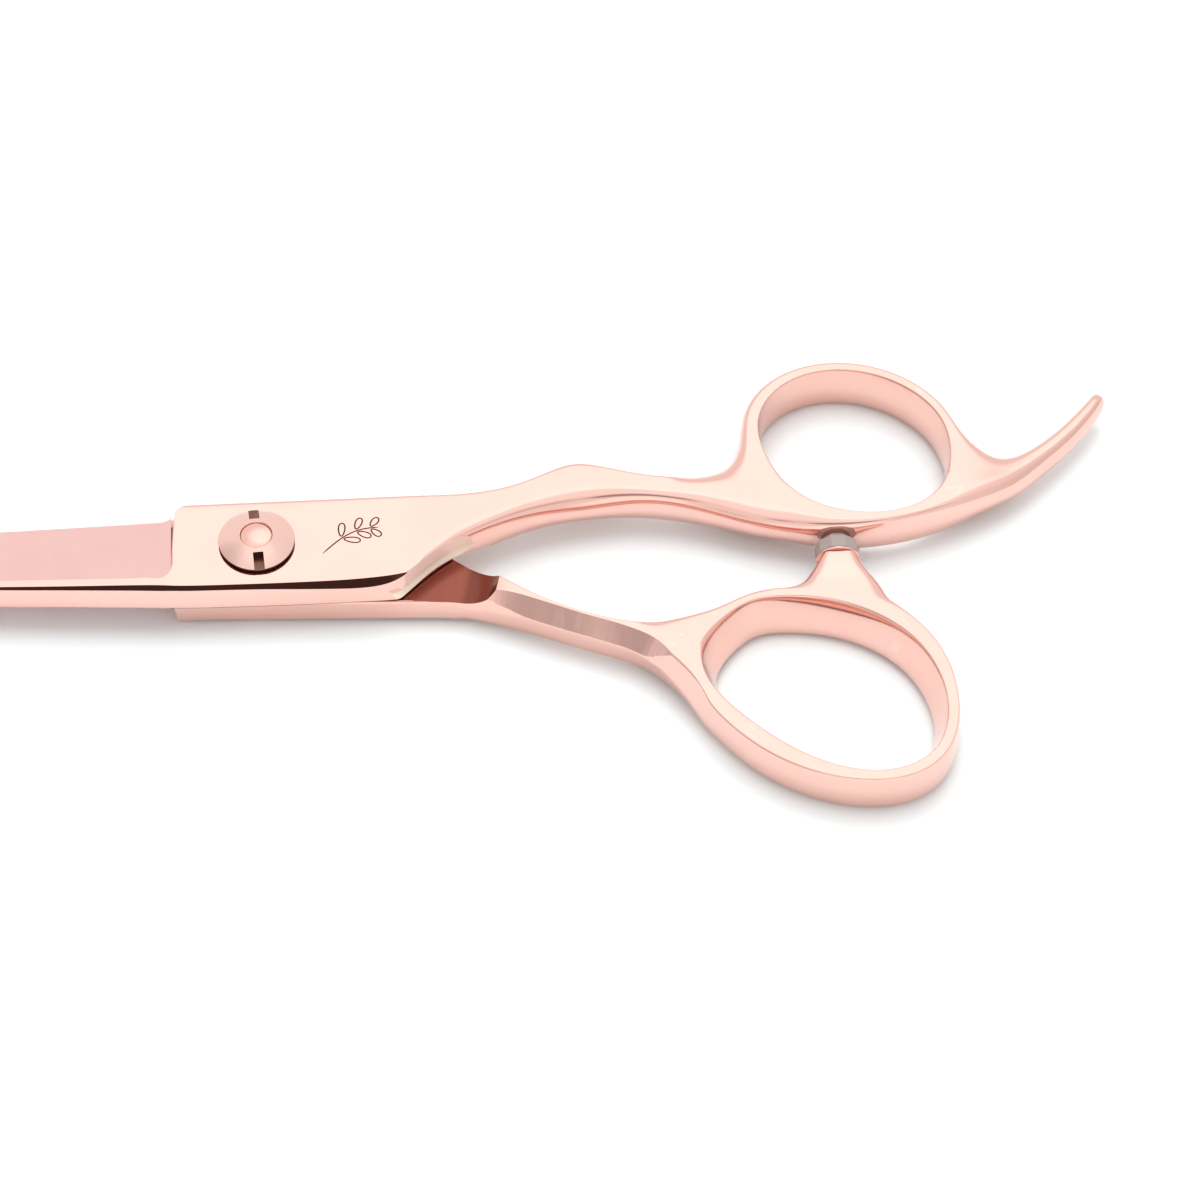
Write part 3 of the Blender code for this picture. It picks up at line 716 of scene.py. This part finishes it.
def front_cage():
    cage = Cage()
    chain = cage.place(through_points(front_chain()))
    start, end = FINGER_JOINS
    cage.sides(chain, gaps=((start, "lm"), (end, "lm")))
    cage.cap(chain[0], 1.0)
    cage.cap(chain[-1])
    strand = cage.place(through_points(finger_strand()))
    cage.sides(strand)
    cage.bridge(chain, start, "lm", strand[0])
    cage.bridge(chain, end, "lm", strand[-1], turned=True)
    return cage


# ----------------------------------------------------------------- rear half


REAR_EDGES = creases(1.0, bl=0.6, br=0.6)
REAR_BLOCK_EDGES = creases(1.0, bl=0.6, br=0.6, tr=0.5)
REAR_BLADE = (
    (TIP_X, 0.3, -0.3, 1.0, ""),
    (-72.0, 0.85, -0.85, 1.1, ""),
    (-65.0, 1.9, -1.75, 1.45, ""),
    (-52.0, 3.4, -3.1, 2.0, ""),
    (-38.0, 4.5, -4.4, 2.5, ""),
    (-24.0, 5.2, -5.35, 2.9, ""),
    (-12.0, 5.6, -5.7, BLOCK_DEPTH, ""),
    (-8.0, 6.3, -5.75, BLOCK_DEPTH, ""),
    (0.0, 6.6, -6.0, BLOCK_DEPTH, ""),
    (8.0, 6.6, -6.3, BLOCK_DEPTH, ""),
    (15.6, 6.0, -6.6, BLOCK_DEPTH, "lm"),
)


# Sections round the thumb hole: angle of the first, step, then the wall's width and the lip of each.
THUMB_START = -122
THUMB_STEP = 19.3
THUMB_RIM = (
    (1.4, 1.0), (1.4, 1.3), (1.5, 1.0), (1.6, 0.5),
    (1.7, 0.0), (1.8, -0.1), (1.5, 0.1), (1.1, 0.5),
    (1.2, 0.4), (2.0, 0.0), (2.9, -0.5), (3.1, -0.5),
    (2.2, -0.2), (1.1, 0.2), (1.2, 0.3),
)


def rear_chain():
    chain = straight_sections(REAR_BLADE, RIDE_REAR, -1, REAR_EDGES)
    for here, row in zip(chain, REAR_BLADE):
        if row[0] > HEEL_X:
            here["crease"] = REAR_BLOCK_EDGES
    neck = creases(0.9)
    shank = creases(0.6, tr=0.6, tl=0.6, rm=0.5)
    facet = [creases(0.3, tr=0.65, tl=0.5, rm=value) for value in (0.75, 0.62, 0.52)]
    rim = [creases(0.15, tr=0.55, tl=0.5, rm=value) for value in (0.42, 0.3)]
    chain += [
        section((18.5, 1.9), (20.0, -6.8), 3.9, BACK_FACE, crease=neck),
        section((22.5, -1.4), (22.6, -7.2), 5.2, 0.6, (0.03, 0.0), shank),
        section((27.0, -4.8), (26.6, -8.6), 6.1, 0.7, (0.12, 0.05), facet[0], (0.0, 0.4), 0.55),
        section((31.4, -8.0), (30.8, -10.4), 6.2, 0.8, (0.15, 0.12), facet[0], (0.0, 0.6), 0.66),
        section((36.0, -10.3), (35.3, -12.4), 6.2, 0.8, (0.16, 0.14), facet[0], (0.0, 0.7), 0.66),
        section((40.0, -11.6), (39.5, -14.1), 6.2, 0.8, (0.16, 0.14), facet[0], (0.0, 0.7), 0.64),
        section((43.2, -12.0), (42.7, -16.0), 6.2, 0.7, (0.14, 0.14), facet[1], (0.0, 0.9), 0.62),
        section((45.9, -12.5), (44.9, -18.4), 6.2, 0.5, (0.1, 0.12), facet[2], (0.0, 0.9), 0.6),
    ]
    join = section((50.0, -16.0), (46.6, -20.8), 6.2, 0.3, (0.08, 0.12), rim[0], (0.0, 0.8), 0.55)
    chain.append(at_thumb_join(join, (48.1, -15.9)))
    join = section((50.5, -19.2), (48.1, -23.3), 6.1, 0.15, (0.08, 0.12), rim[1], (0.6, 0.7))
    chain.append(at_thumb_join(join, (48.9, -20.0)))
    around = creases(0.0, tl=0.5, tr=0.42)
    for step, (wall, lip) in enumerate(THUMB_RIM):
        degrees = THUMB_START + THUMB_STEP * step
        chain.append(loop_section(THUMB_LOOP, degrees, wall, THUMB_FLARE, 6.0, lip, True, around))
    join = section((52.6, -13.4), (50.6, -10.6), 6.1, 0.2, (0.1, 0.12), creases(0.0, tl=0.5))
    chain.append(at_thumb_join(join, (51.5, -11.9)))
    return chain


def neck_sections():
    """The short neck on the thumb loop that carries the bumper."""
    edges = creases(0.3)
    wide = section((59.7, -6.9), (70.3, -8.0), 5.9, 1.6, (0.16, 0.16), edges)
    waist = section((61.2, -5.4), (67.9, -5.3), 6.1, 1.9, (0.16, 0.16), edges)
    end = section((62.4, NECK_END), (67.1, NECK_END), 6.15, 1.9, (0.16, 0.16), edges)
    return [wide, waist, end]


def rear_cage():
    cage = Cage()
    chain = cage.place(through_points(rear_chain()))
    neck = len(chain) - NECK_FROM_END
    cage.sides(chain, gaps=((THUMB_JOIN, "lm"), (neck, "rm")))
    cage.cap(chain[0], 1.0)
    cage.bridge(chain, THUMB_JOIN, "lm", chain[-1], turned=True)
    branch = cage.place(neck_sections())
    cage.sides(branch)
    cage.cap(branch[-1], 0.9)
    cage.bridge(chain, neck, "rm", branch[0], turned=True)
    return cage


def smooth_half(name, cage, body, cutters):
    item = paint(add_object(name, mesh_from(cage.bm, name)), body)
    smooth = item.modifiers.new("subdivision", "SUBSURF")
    smooth.levels = SUBDIVISION
    smooth.render_levels = SUBDIVISION
    bake(item)
    carve(item, cutters)
    return finish_edges(item)


# ------------------------------------------------------------------- cutters


CHAMFER_WIDTH = 0.95
CHAMFER_SLOPE = 0.75
CHAMFER_REACH = 1.9
CHAMFER_LAP = 0.1
CHAMFER_CLEARANCE = 2.5
CHAMFER_END = ((4.7, -5.75), (9.1, -5.69), (12.5, -5.5), (15.2, -5.2), (17.0, -4.7), (19.0, -3.7))

# Edge break at the foot of the block's wall, round its corner and along the shank; its cream satin coat is
# a painted highlight.
FOOT_LINE = (
    (13.8, -7.05), (15.0, -6.85), (16.0, -6.2), (17.7, -4.62),
    (19.8, -2.75), (21.7, -1.25), (23.4, -0.3), (25.5, 0.2),
)
FOOT_RING = ((0.05, 3.7), (-0.5, 5.0), (1.2, 5.0), (1.2, 3.7))

# Wall above the edge break; its pale satin coat is painted light in place of the polished wall's
# reflection.
WALL_LINE = (
    (14.6, -7.5), (15.7, -6.7), (16.6, -5.8), (17.7, -4.75),
    (19.8, -2.8), (21.7, -1.3), (23.4, -0.4), (25.5, 0.1),
)
WALL_RING = ((-0.4, 4.8), (-0.68, 7.5), (1.2, 7.5), (1.2, 4.8))

# Joint line between the two blocks: a shallow groove whose near-black finish is painted shade in the
# joint.
SEAM_LINE = (
    (-9.8, -6.47), (-8.0, -6.58), (-4.0, -6.67), (0.0, -6.7),
    (4.0, -6.71), (8.0, -6.69), (12.0, -6.63), (15.2, -6.56),
)
SEAM_RING = ((-0.1, 3.6), (-0.1, 4.12), (0.6, 4.12), (0.6, 3.6))

# Facet along the rear shank, from the block to the thumb loop.
FACET_LINE = (
    (20.0, -8.0), (23.5, -8.0), (26.6, -8.65), (30.8, -10.4),
    (35.3, -12.4), (39.5, -14.1), (42.6, -15.9), (44.4, -18.5),
    (45.0, -21.5),
)
FACET_RING = ((0.6, 3.39), (-1.8, 6.6), (0.95, 6.6), (0.95, 3.39))


def heel_corner(rows):
    """Plan points (x, y, lean) that round the block's corner above the cutting edge."""
    edge = interpolate(rows, HEEL_X, 1)
    made = []
    for degrees in range(0, 91, 9):
        turn = math.radians(degrees)
        x = HEEL_X + HEEL_CORNER * (1.0 - math.cos(turn))
        made.append((x, edge - HEEL_CORNER * (1.0 - math.sin(turn)), HEEL_LEAN * math.cos(turn)))
    return made


def grind_cutter(name, rows, rear, material):
    """Solid above the ground face of a blade, with a rounded end at the heel.

    rows give x, cutting edge y, spine y and thickness for a blade whose edge faces +Y.
    """
    centre = HEEL_X - HEEL_RADIUS
    along_blade = [TIP_X - 2.0, -73.2, -71.0]
    along_blade += [-69.0 + 4.0 * step for step in range(13)]
    along_blade += [-18.0, -15.0, -12.5]
    stations = [(x, None, 0.0) for x in along_blade]
    for degrees in range(0, 91, 6):
        along = math.sin(math.radians(degrees))
        stations.append((centre + HEEL_RADIUS * along, None, HEEL_LEAN * along))
    if not rear:
        stations += heel_corner(rows)
    bm = bmesh.new()
    rings = []
    for x, wall, lean in stations:
        at = max(x, TIP_X)
        edge, spine, thick = (interpolate(rows, at, column) for column in (1, 2, 3))
        band = SPINE_BAND * min(1.0, thick / BLOCK_DEPTH) ** 1.5
        ridge = spine + band
        slope = (thick - EDGE_LAND) / (edge - ridge)
        past_centre = max(0.0, (x - centre) / HEEL_RADIUS)
        if wall is not None:
            inner = wall
        elif x > centre:
            inner = ridge + HEEL_RADIUS * (1.0 - math.sqrt(max(0.0, 1.0 - past_centre**2)))
        else:
            inner = ridge - 0.6 * band
        base = RIDE_FRONT + EDGE_LAND
        past = edge + EDGE_OVERCUT
        lift = 0.0 if rear else HEEL_LIFT * min(1.0, past_centre) ** 2
        foot = x - lean
        corners = (
            (foot, past, base - EDGE_OVERCUT * slope + lift),
            (foot, inner, base + (edge - inner) * slope),
            (x, inner, ABOVE_ALL),
            (x, past, ABOVE_ALL),
        )
        ring = [bm.verts.new(corner) for corner in corners]
        if rear:
            for vertex in ring:
                vertex.co.y = -vertex.co.y
                vertex.co.z = MIRROR_Z - vertex.co.z
        rings.append(ring)
    join_rings(bm, rings)
    return paint(add_object(name, mesh_from(bm, name), smooth=False), material)


def sweep_cutter(name, points, ring, material):
    """Cutter swept along a smooth line through (x, y, height) points.

    The ring holds (reach, rise) corners: reach to the right of the line, rise above its height.
    """
    line = smooth_line(points, SWEEP_STEPS)
    bm = bmesh.new()
    rings = []
    for index, here in enumerate(line):
        before = line[max(index - 1, 0)]
        after = line[min(index + 1, len(line) - 1)]
        along = (after - before).to_2d().normalized()
        out = Vector((along.y, -along.x))
        corners = [(here.x + out.x * reach, here.y + out.y * reach, here.z + rise) for reach, rise in ring]
        rings.append([bm.verts.new(corner) for corner in corners])
    join_rings(bm, rings)
    return paint(add_object(name, mesh_from(bm, name), smooth=False), material)


def chamfer_cutter(name, material):
    """Bevel along the front edge of the front half's top face, running out at the block's corner."""
    points = []
    for x, _, spine, thick, _ in FRONT_BLADE[1:9]:
        share = thick / BLOCK_DEPTH
        points.append((x, spine + CHAMFER_WIDTH * share**2, RIDE_FRONT + thick))
    points[0] = (TIP_X - 1.0, *points[0][1:])
    points += [(x, y, FRONT_FACE) for x, y in CHAMFER_END]
    low, high = -CHAMFER_REACH * CHAMFER_SLOPE, CHAMFER_LAP * CHAMFER_SLOPE
    over = CHAMFER_CLEARANCE
    ring = ((-CHAMFER_LAP, high), (CHAMFER_REACH, low), (CHAMFER_REACH, over), (-CHAMFER_LAP, over))
    return sweep_cutter(name, points, ring, material)


def band_cutter(name, line, ring, material):
    """Cutter for a flat band along a plan line. The ring holds (reach, height) corners."""
    return sweep_cutter(name, [(x, y, 0.0) for x, y in line], ring, material)


def flip_profile(profile):
    """Mirrors a profile in the plane between the two ride faces, keeping its direction."""
    return [(radius, MIRROR_Z - height) for radius, height in reversed(profile)]


def pocket_profile():
    floor = RIDE_REAR - RIDE_POCKET
    points = [(0.0, ABOVE_ALL), (POCKET_RADIUS + SCOOP_RADIUS + 1.0, ABOVE_ALL)]
    points += arc((POCKET_RADIUS, floor + SCOOP_RADIUS), SCOOP_RADIUS, 0, -90, 16)
    points.append((0.0, floor))
    return points


# ------------------------------------------------------------------ ornament


STEM_PIECES = 12
LEAF_POINTS = 16
LEAF_TURN = math.radians(48.0)


def tube_cutter(name, lines, radius, material):
    """Thin tubes along open or closed lines on the block's top face, as one cutter."""
    bm = bmesh.new()
    sides = 8
    for line, closed in lines:
        rings = []
        count = len(line)
        for index, point in enumerate(line):
            before = line[index - 1] if index or closed else line[index]
            after = line[(index + 1) % count] if index < count - 1 or closed else line[index]
            along = (Vector(after) - Vector(before)).normalized()
            across = Vector((-along.y, along.x))
            taper = 1.0 if closed or 0 < index < count - 1 else 0.4
            ring = []
            for k in range(sides):
                turn = math.tau * (k + 0.5) / sides
                offset = across * math.cos(turn) * radius * taper
                height = FRONT_FACE + math.sin(turn) * radius * taper
                ring.append(bm.verts.new((point[0] + offset.x, point[1] + offset.y, height)))
            rings.append(ring)
        join_rings(bm, rings, closed)
    return paint(add_object(name, mesh_from(bm, name), smooth=False), material)


def leaf_line(root, axis, share):
    """Outline of a pointed leaf that starts beside the stem and lies along the axis."""
    across = Vector((-axis.y, axis.x))
    start = root + axis * 0.32
    length = 1.85 * (1.15 - 0.5 * share)
    made = []
    for k in range(LEAF_POINTS):
        turn = math.tau * k / LEAF_POINTS
        reach = length * (0.5 - 0.5 * math.cos(turn))
        side = across * 0.36 * math.sin(turn) * (1.0 - 0.25 * math.cos(turn))
        made.append(tuple(start + axis * reach + side))
    return made


def ornament_lines():
    """A plain sprig: a bowed stem and three pairs of leaves."""
    stem = []
    for k in range(STEM_PIECES + 1):
        t = k / STEM_PIECES
        stem.append((7.3 + 6.3 * t, -1.9 + 3.4 * t + 1.0 * math.sin(math.pi * t)))
    lines = [(stem, False)]
    for share in (0.3, 0.55, 0.8):
        index = round(share * STEM_PIECES)
        along = (Vector(stem[index + 1]) - Vector(stem[index - 1])).normalized()
        for side in (1, -1):
            turn = LEAF_TURN * side
            x = along.x * math.cos(turn) - along.y * math.sin(turn)
            y = along.x * math.sin(turn) + along.y * math.cos(turn)
            lines.append((leaf_line(Vector(stem[index]), Vector((x, y)), share), True))
    return lines


# -------------------------------------------------------------------- pieces


def build_front(looks):
    bore = BUSH_RADIUS + FIT
    well = [
        (0.0, ABOVE_FRONT),
        (WELL_RADIUS, ABOVE_FRONT),
        (WELL_RADIUS, WELL_FLOOR),
        (bore, WELL_FLOOR),
        (bore, THRUST_TOP),
        (THRUST_WELL, THRUST_TOP),
        (THRUST_WELL, BELOW_FRONT),
        (0.0, BELOW_FRONT),
    ]
    cutters = [
        # The chamfer's near-black finish is a painted dark reflection; the seam groove's is painted shade.
        chamfer_cutter("front_chamfer", looks["painted_dark"]),
        band_cutter("front_seam", SEAM_LINE, SEAM_RING, looks["painted_dark"]),
        # The wall's pale coat is painted light and the foot's cream strip a painted highlight.
        band_cutter("front_wall", WALL_LINE, WALL_RING, looks["wall"]),
        band_cutter("front_foot", FOOT_LINE, FOOT_RING, looks["foot"]),
        grind_cutter("front_grind", [row[:4] for row in FRONT_BLADE], False, looks["face"]),
        turned("front_pocket", flip_profile(pocket_profile()), 192, looks["front"]),
        turned("front_bore", well, 96, looks["bore"]),
        tube_cutter("ornament", ornament_lines(), 0.085, looks["mark"]),
    ]
    return smooth_half("front_half_polished", front_cage(), looks["front"], cutters)


def build_rear(looks):
    half = SQUARE / 2 + FIT
    radius = PIN_RADIUS + FIT
    end = NECK_END - STUD_DEPTH
    drill = turned("stud_hole", [(0.0, 0.0), (radius, 0.0), (radius, end), (0.0, end)], 32, looks["bore"])
    lo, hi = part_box("bumper_stud")
    stand_along_y(drill, (lo + hi) / 2)
    washer_well = [(0.0, ABOVE_REAR), (THRUST_WELL, ABOVE_REAR)]
    washer_well += [(THRUST_WELL, THRUST_FLOOR), (0.0, THRUST_FLOOR)]
    rows = [(x, -right, -left, thick) for x, left, right, thick, _ in REAR_BLADE]
    cutters = [
        grind_cutter("rear_grind", rows, True, looks["face"]),
        band_cutter("rear_facet", FACET_LINE, FACET_RING, looks["rear"]),
        # The ride pocket takes the dark brown recess finish: painted shade.
        turned("rear_pocket", pocket_profile(), 192, looks["recess_shade"]),
        box("square_hole", (-half, -half, 0.0), (half, half, ABOVE_REAR), looks["bore"]),
        turned("rear_washer_well", washer_well, 96, looks["bore"]),
        drill,
    ]
    return smooth_half("rear_half_polished", rear_cage(), looks["rear"], cutters)


def stand_along_y(item, centre):
    """Turns a piece made about Z so that its axis runs along Y, through a point."""
    item.location = (centre.x, 0.0, centre.z)
    item.rotation_euler.x = -math.pi / 2
    return item


def settle(item):
    """Applies the object's own placing to its mesh."""
    bpy.context.view_layer.update()
    item.data.transform(item.matrix_world)
    item.location = (0.0, 0.0, 0.0)
    item.rotation_euler = (0.0, 0.0, 0.0)
    return item


DOME_STEPS = 14


def build_disc(body, slot_shade_look, rim_shade_look):
    lo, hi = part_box("tension_disc")
    radius = hi.x / MM
    low, top = lo.z / MM, hi.z / MM
    hole = THREAD_RADIUS + FIT
    rim = low + 0.25
    dome = []
    for step in range(DOME_STEPS + 1):
        share = step / DOME_STEPS
        reach = hole + 0.08 + (radius - 0.1 - hole - 0.08) * share
        dome.append((reach, top - (top - rim) * (0.75 * share + 0.25 * share**2)))
    profile = [(hole, top - 0.1), (hole + 0.03, top - 0.03)] + dome
    profile += [(radius - 0.03, rim - 0.04), (radius, rim - 0.1)]
    profile += [(radius, low + 0.06), (radius - 0.06, low), (hole, low)]
    disc = turned("tension_disc_polished", profile, 160, body)
    # The rim's side takes the near-black finish: painted shade and a painted dark reflection under the
    # disc's edge.
    disc.data.materials.append(rim_shade_look)
    for face in disc.data.polygons:
        outside = math.hypot(face.center.x, face.center.y) > (radius - 0.05) * MM
        if outside and abs(face.normal.z) < 0.8:
            face.material_index = 1
    slots = []
    # The slots take the dark brown finish: painted shade in their walls and floors.
    for number, angle in enumerate((SLOT_ANGLE, SLOT_ANGLE + math.pi)):
        low_corner = (SLOT_START, -SLOT_WIDTH / 2, SLOT_FLOOR)
        high_corner = (radius + 1.0, SLOT_WIDTH / 2, ABOVE_ALL)
        slot = box("slot_%d" % number, low_corner, high_corner, slot_shade_look)
        slot.rotation_euler.z = angle
        slots.append(settle(slot))
    carve(disc, slots)
    return finish_edges(disc, 40.0)


def build_stud(body):
    _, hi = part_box("pivot_stud")
    radius, top = hi.x / MM, hi.z / MM
    half = SQUARE / 2
    profile = [
        (0.0, top),
        (THREAD_RADIUS - 0.14, top - 0.01),
        (THREAD_RADIUS - 0.06, top - 0.04),
        (THREAD_RADIUS, top - 0.1),
        (THREAD_RADIUS, 6.1),
        (STUD_SHANK, 6.0),
        (STUD_SHANK, 0.55),
        (radius - 0.08, 0.55),
        (radius, 0.47),
        (radius, 0.22),
        (radius - 0.06, 0.08),
        (radius - 0.2, 0.0),
        (0.0, 0.0),
    ]
    stud = turned("pivot_stud_polished", profile, 120, body)
    carve(stud, [box("square_neck", (-half, -half, 0.3), (half, half, 3.2), body)], "UNION")
    return finish_edges(stud, 35.0)


def build_bumper(look):
    """Ten-sided sleeve, with its bevelled end towards the finger loop."""
    lo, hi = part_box("bumper")
    radius = (hi.x - lo.x) / 2 / MM
    low, high = lo.y / MM, hi.y / MM
    bore = PIN_RADIUS + FIT
    profile = [(0.0, high), (radius - 0.86, high), (radius - 0.78, high - 0.02)]
    profile += [(radius - 0.02, high - 0.86), (radius, high - 0.94)]
    profile += arc((radius - 0.18, low + 0.18), 0.18, 0, -90, 3)
    profile += [(bore, low), (bore, high - 0.9), (0.0, high - 0.9)]
    bumper = turned("bumper_sleeve", profile, 10, look)
    settle(stand_along_y(bumper, (lo + hi) / 2))
    return finish_edges(bumper, 30.0)


def build_collar(body):
    lo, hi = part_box("bumper_collar")
    radius = (hi.x - lo.x) / 2 / MM
    low, high = lo.y / MM, hi.y / MM
    bore = PIN_RADIUS + FIT
    profile = arc((radius - 0.08, high - 0.08), 0.08, 90, 0, 4)
    profile += arc((radius - 0.08, low + 0.08), 0.08, 0, -90, 4)
    profile += [(bore, low), (bore, high)]
    collar = turned("bumper_collar_polished", profile, 72, body)
    settle(stand_along_y(collar, (lo + hi) / 2))
    return finish_edges(collar)


def repaint(name, material):
    """Gives a CAD node its finish."""
    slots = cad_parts[name].material_slots
    for slot in slots:
        slot.material = material
    if not len(slots):
        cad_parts[name].data.materials.append(material)


def build_object():
    looks = {
        "front": polished("rose_gold_front", ROSE),
        "rear": polished("rose_gold_rear", ROSE, grain=(1.0, 0.12, 1.0)),
        "face": ground("rose_gold_ground", tint(ROSE, (1.06, 1.1, 1.18))),
        # Dark brown recess finish: painted shade on the floor of the rear half's ride pocket.
        "recess_shade": ground("rose_gold_recess_painted_shade", (0.27, 0.085, 0.062), 0.2),
        "bore": plain_metal("bored_steel", (0.55, 0.44, 0.4), 0.3),
        "mark": engraved("engraving"),
        # Near-black finish: a painted dark reflection on the chamfer, painted shade in the seam groove and
        # on the disc's rim.
        "painted_dark": polished("rose_gold_painted_shade_and_reflection", (0.11, 0.04, 0.03), 0.04),
        # Cream satin strip: a painted highlight at the foot of the block's wall.
        "foot": satin_painted_light("rose_gold_painted_highlight_strip", (1.0, 0.84, 0.7)),
        # Pale satin wall: painted light in place of the polished wall's reflection.
        "wall": satin_painted_light("rose_gold_shank_wall_painted_light", (1.0, 0.7, 0.6)),
    }
    front = build_front(looks)
    rear = build_rear(looks)
    disc_look = polished("rose_gold_disc", tint(ROSE, (1.06, 1.13, 1.14)), 0.07, edge=0.05)
    # Dark brown slot finish: painted shade in the disc's slots.
    slot_shade_look = plain_metal("slot_steel", (0.22, 0.11, 0.085), 0.3)
    stud_look = polished("rose_gold_stud", tint(ROSE, (0.99, 0.98, 0.97)), 0.08)
    pieces = [
        (front, "front", "front_half"),
        (rear, "rear", "rear_half"),
        (build_disc(disc_look, slot_shade_look, looks["painted_dark"]), "disc", "tension_disc"),
        (build_stud(stud_look), "rear", "pivot_stud"),
        (build_bumper(silicone("grey_silicone", (0.5, 0.41, 0.39))), "rear", "bumper"),
        (build_collar(polished("rose_gold_collar", ROSE, 0.06)), "rear", "bumper_collar"),
    ]
    for item, on, node in pieces:
        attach(item, on)
        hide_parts(node)
    repaint("pivot_bush", plain_metal("turned_brass", (0.78, 0.58, 0.28), 0.28, 2.0))
    repaint("thrust_washer", bearing_plastic("white_bearing", (0.82, 0.81, 0.78)))
    repaint("spring_washer", plain_metal("spring_steel", (0.56, 0.56, 0.58), 0.3, 1.5))
    repaint("pressure_washer", bearing_plastic("black_bearing", (0.05, 0.05, 0.055)))
    repaint("bumper_stud", plain_metal("turned_steel", (0.6, 0.59, 0.58), 0.3))


# --------------------------------------------------------------------- stage


FLOOR_RADIUS = 3000.0

# Azimuth, elevation, near and far angle in degrees, and strength.
LIGHTS = (
    (8, 54, 5, 19, 0.55),
    (20, 82, 8, 30, 0.2),
    (180, 14, 8, 22, 0.35),
    (-90, 30, 10, 40, -0.3),
    (90, 12, 15, 50, -0.15),
)
GAPS = (
    (180, 54, 8, 15, 0.6),
    (140, 50, 6, 14, 0.25),
    (228, 24, 4, 24, 0.45),
)


def build_floor():
    bm = bmesh.new()
    bmesh.ops.create_circle(bm, cap_ends=True, segments=64, radius=FLOOR_RADIUS)
    floor = add_object("studio_floor", mesh_from(bm, "studio_floor"))
    floor.location.z = cad_bounds[0][2]
    look = Look("pale_floor")
    grain = look.noise(0.02, detail=2.0)
    base = look.blend(grain, (0.88, 0.945, 0.955), (0.91, 0.975, 0.985))
    look.set(Base_Color=base, Roughness=0.6)
    paint(floor, look.material)


def build_light():
    """Soft surroundings by direction, and an overhead sun that makes soft shadows but no reflection."""
    world = bpy.data.worlds.new("studio")
    bpy.context.scene.world = world
    world.use_nodes = True
    tree = world.node_tree
    background = tree.nodes["Background"]
    direction = tree.nodes.new("ShaderNodeTexCoord").outputs["Generated"]

    def towards(azimuth, elevation, near, far, strength):
        """Strength around one direction, full within near degrees of it and gone past far degrees."""
        a, e = math.radians(azimuth), math.radians(elevation)
        dot = tree.nodes.new("ShaderNodeVectorMath")
        dot.operation = "DOT_PRODUCT"
        tree.links.new(direction, dot.inputs[0])
        dot.inputs[1].default_value = (math.sin(a) * math.cos(e), math.cos(a) * math.cos(e), math.sin(e))
        spread = tree.nodes.new("ShaderNodeMapRange")
        spread.interpolation_type = "SMOOTHSTEP"
        tree.links.new(dot.outputs["Value"], spread.inputs["Value"])
        spread.inputs["From Min"].default_value = math.cos(math.radians(far))
        spread.inputs["From Max"].default_value = math.cos(math.radians(near))
        spread.inputs["To Min"].default_value = 0.0
        spread.inputs["To Max"].default_value = strength
        return spread.outputs["Result"]

    def combine(operation, first, second):
        made = tree.nodes.new("ShaderNodeMath")
        made.operation = operation
        for socket, value in zip(made.inputs, (first, second)):
            if isinstance(value, float):
                socket.default_value = value
            else:
                tree.links.new(value, socket)
        return made.outputs["Value"]

    total = 1.0
    for light in LIGHTS:
        total = combine("ADD", total, towards(*light))
    for gap in GAPS:
        total = combine("MULTIPLY", total, combine("SUBTRACT", 1.0, towards(*gap)))
    background.inputs["Color"].default_value = (1.0, 0.99, 0.98, 1.0)
    tree.links.new(total, background.inputs["Strength"])
    bpy.context.scene.view_settings.view_transform = "Standard"

    lamp = bpy.data.lights.new("overhead", "SUN")
    lamp.angle = math.radians(40.0)
    lamp.energy = 1.35
    overhead = bpy.data.objects.new("overhead", lamp)
    bpy.context.scene.collection.objects.link(overhead)
    overhead.rotation_euler.x = math.radians(-16.0)
    overhead.visible_glossy = False


def build_camera():
    elevation = math.radians(53.0)
    azimuth = math.radians(-2.8)
    target = Vector((37.88, -7.69, 4.11)) * MM
    distance = 0.7
    level = math.cos(elevation)
    back = Vector((math.sin(azimuth) * level, -math.cos(azimuth) * level, math.sin(elevation)))
    data = bpy.data.cameras.new("camera")
    data.sensor_width = 36.0
    data.lens = 189.0
    data.clip_start = 0.01
    data.clip_end = 50.0
    camera = bpy.data.objects.new("camera", data)
    bpy.context.scene.collection.objects.link(camera)
    camera.location = target + back * distance
    camera.rotation_euler = (-back).to_track_quat("-Z", "Y").to_euler()
    bpy.context.scene.camera = camera


build_object()
build_floor()
build_light()
build_camera()
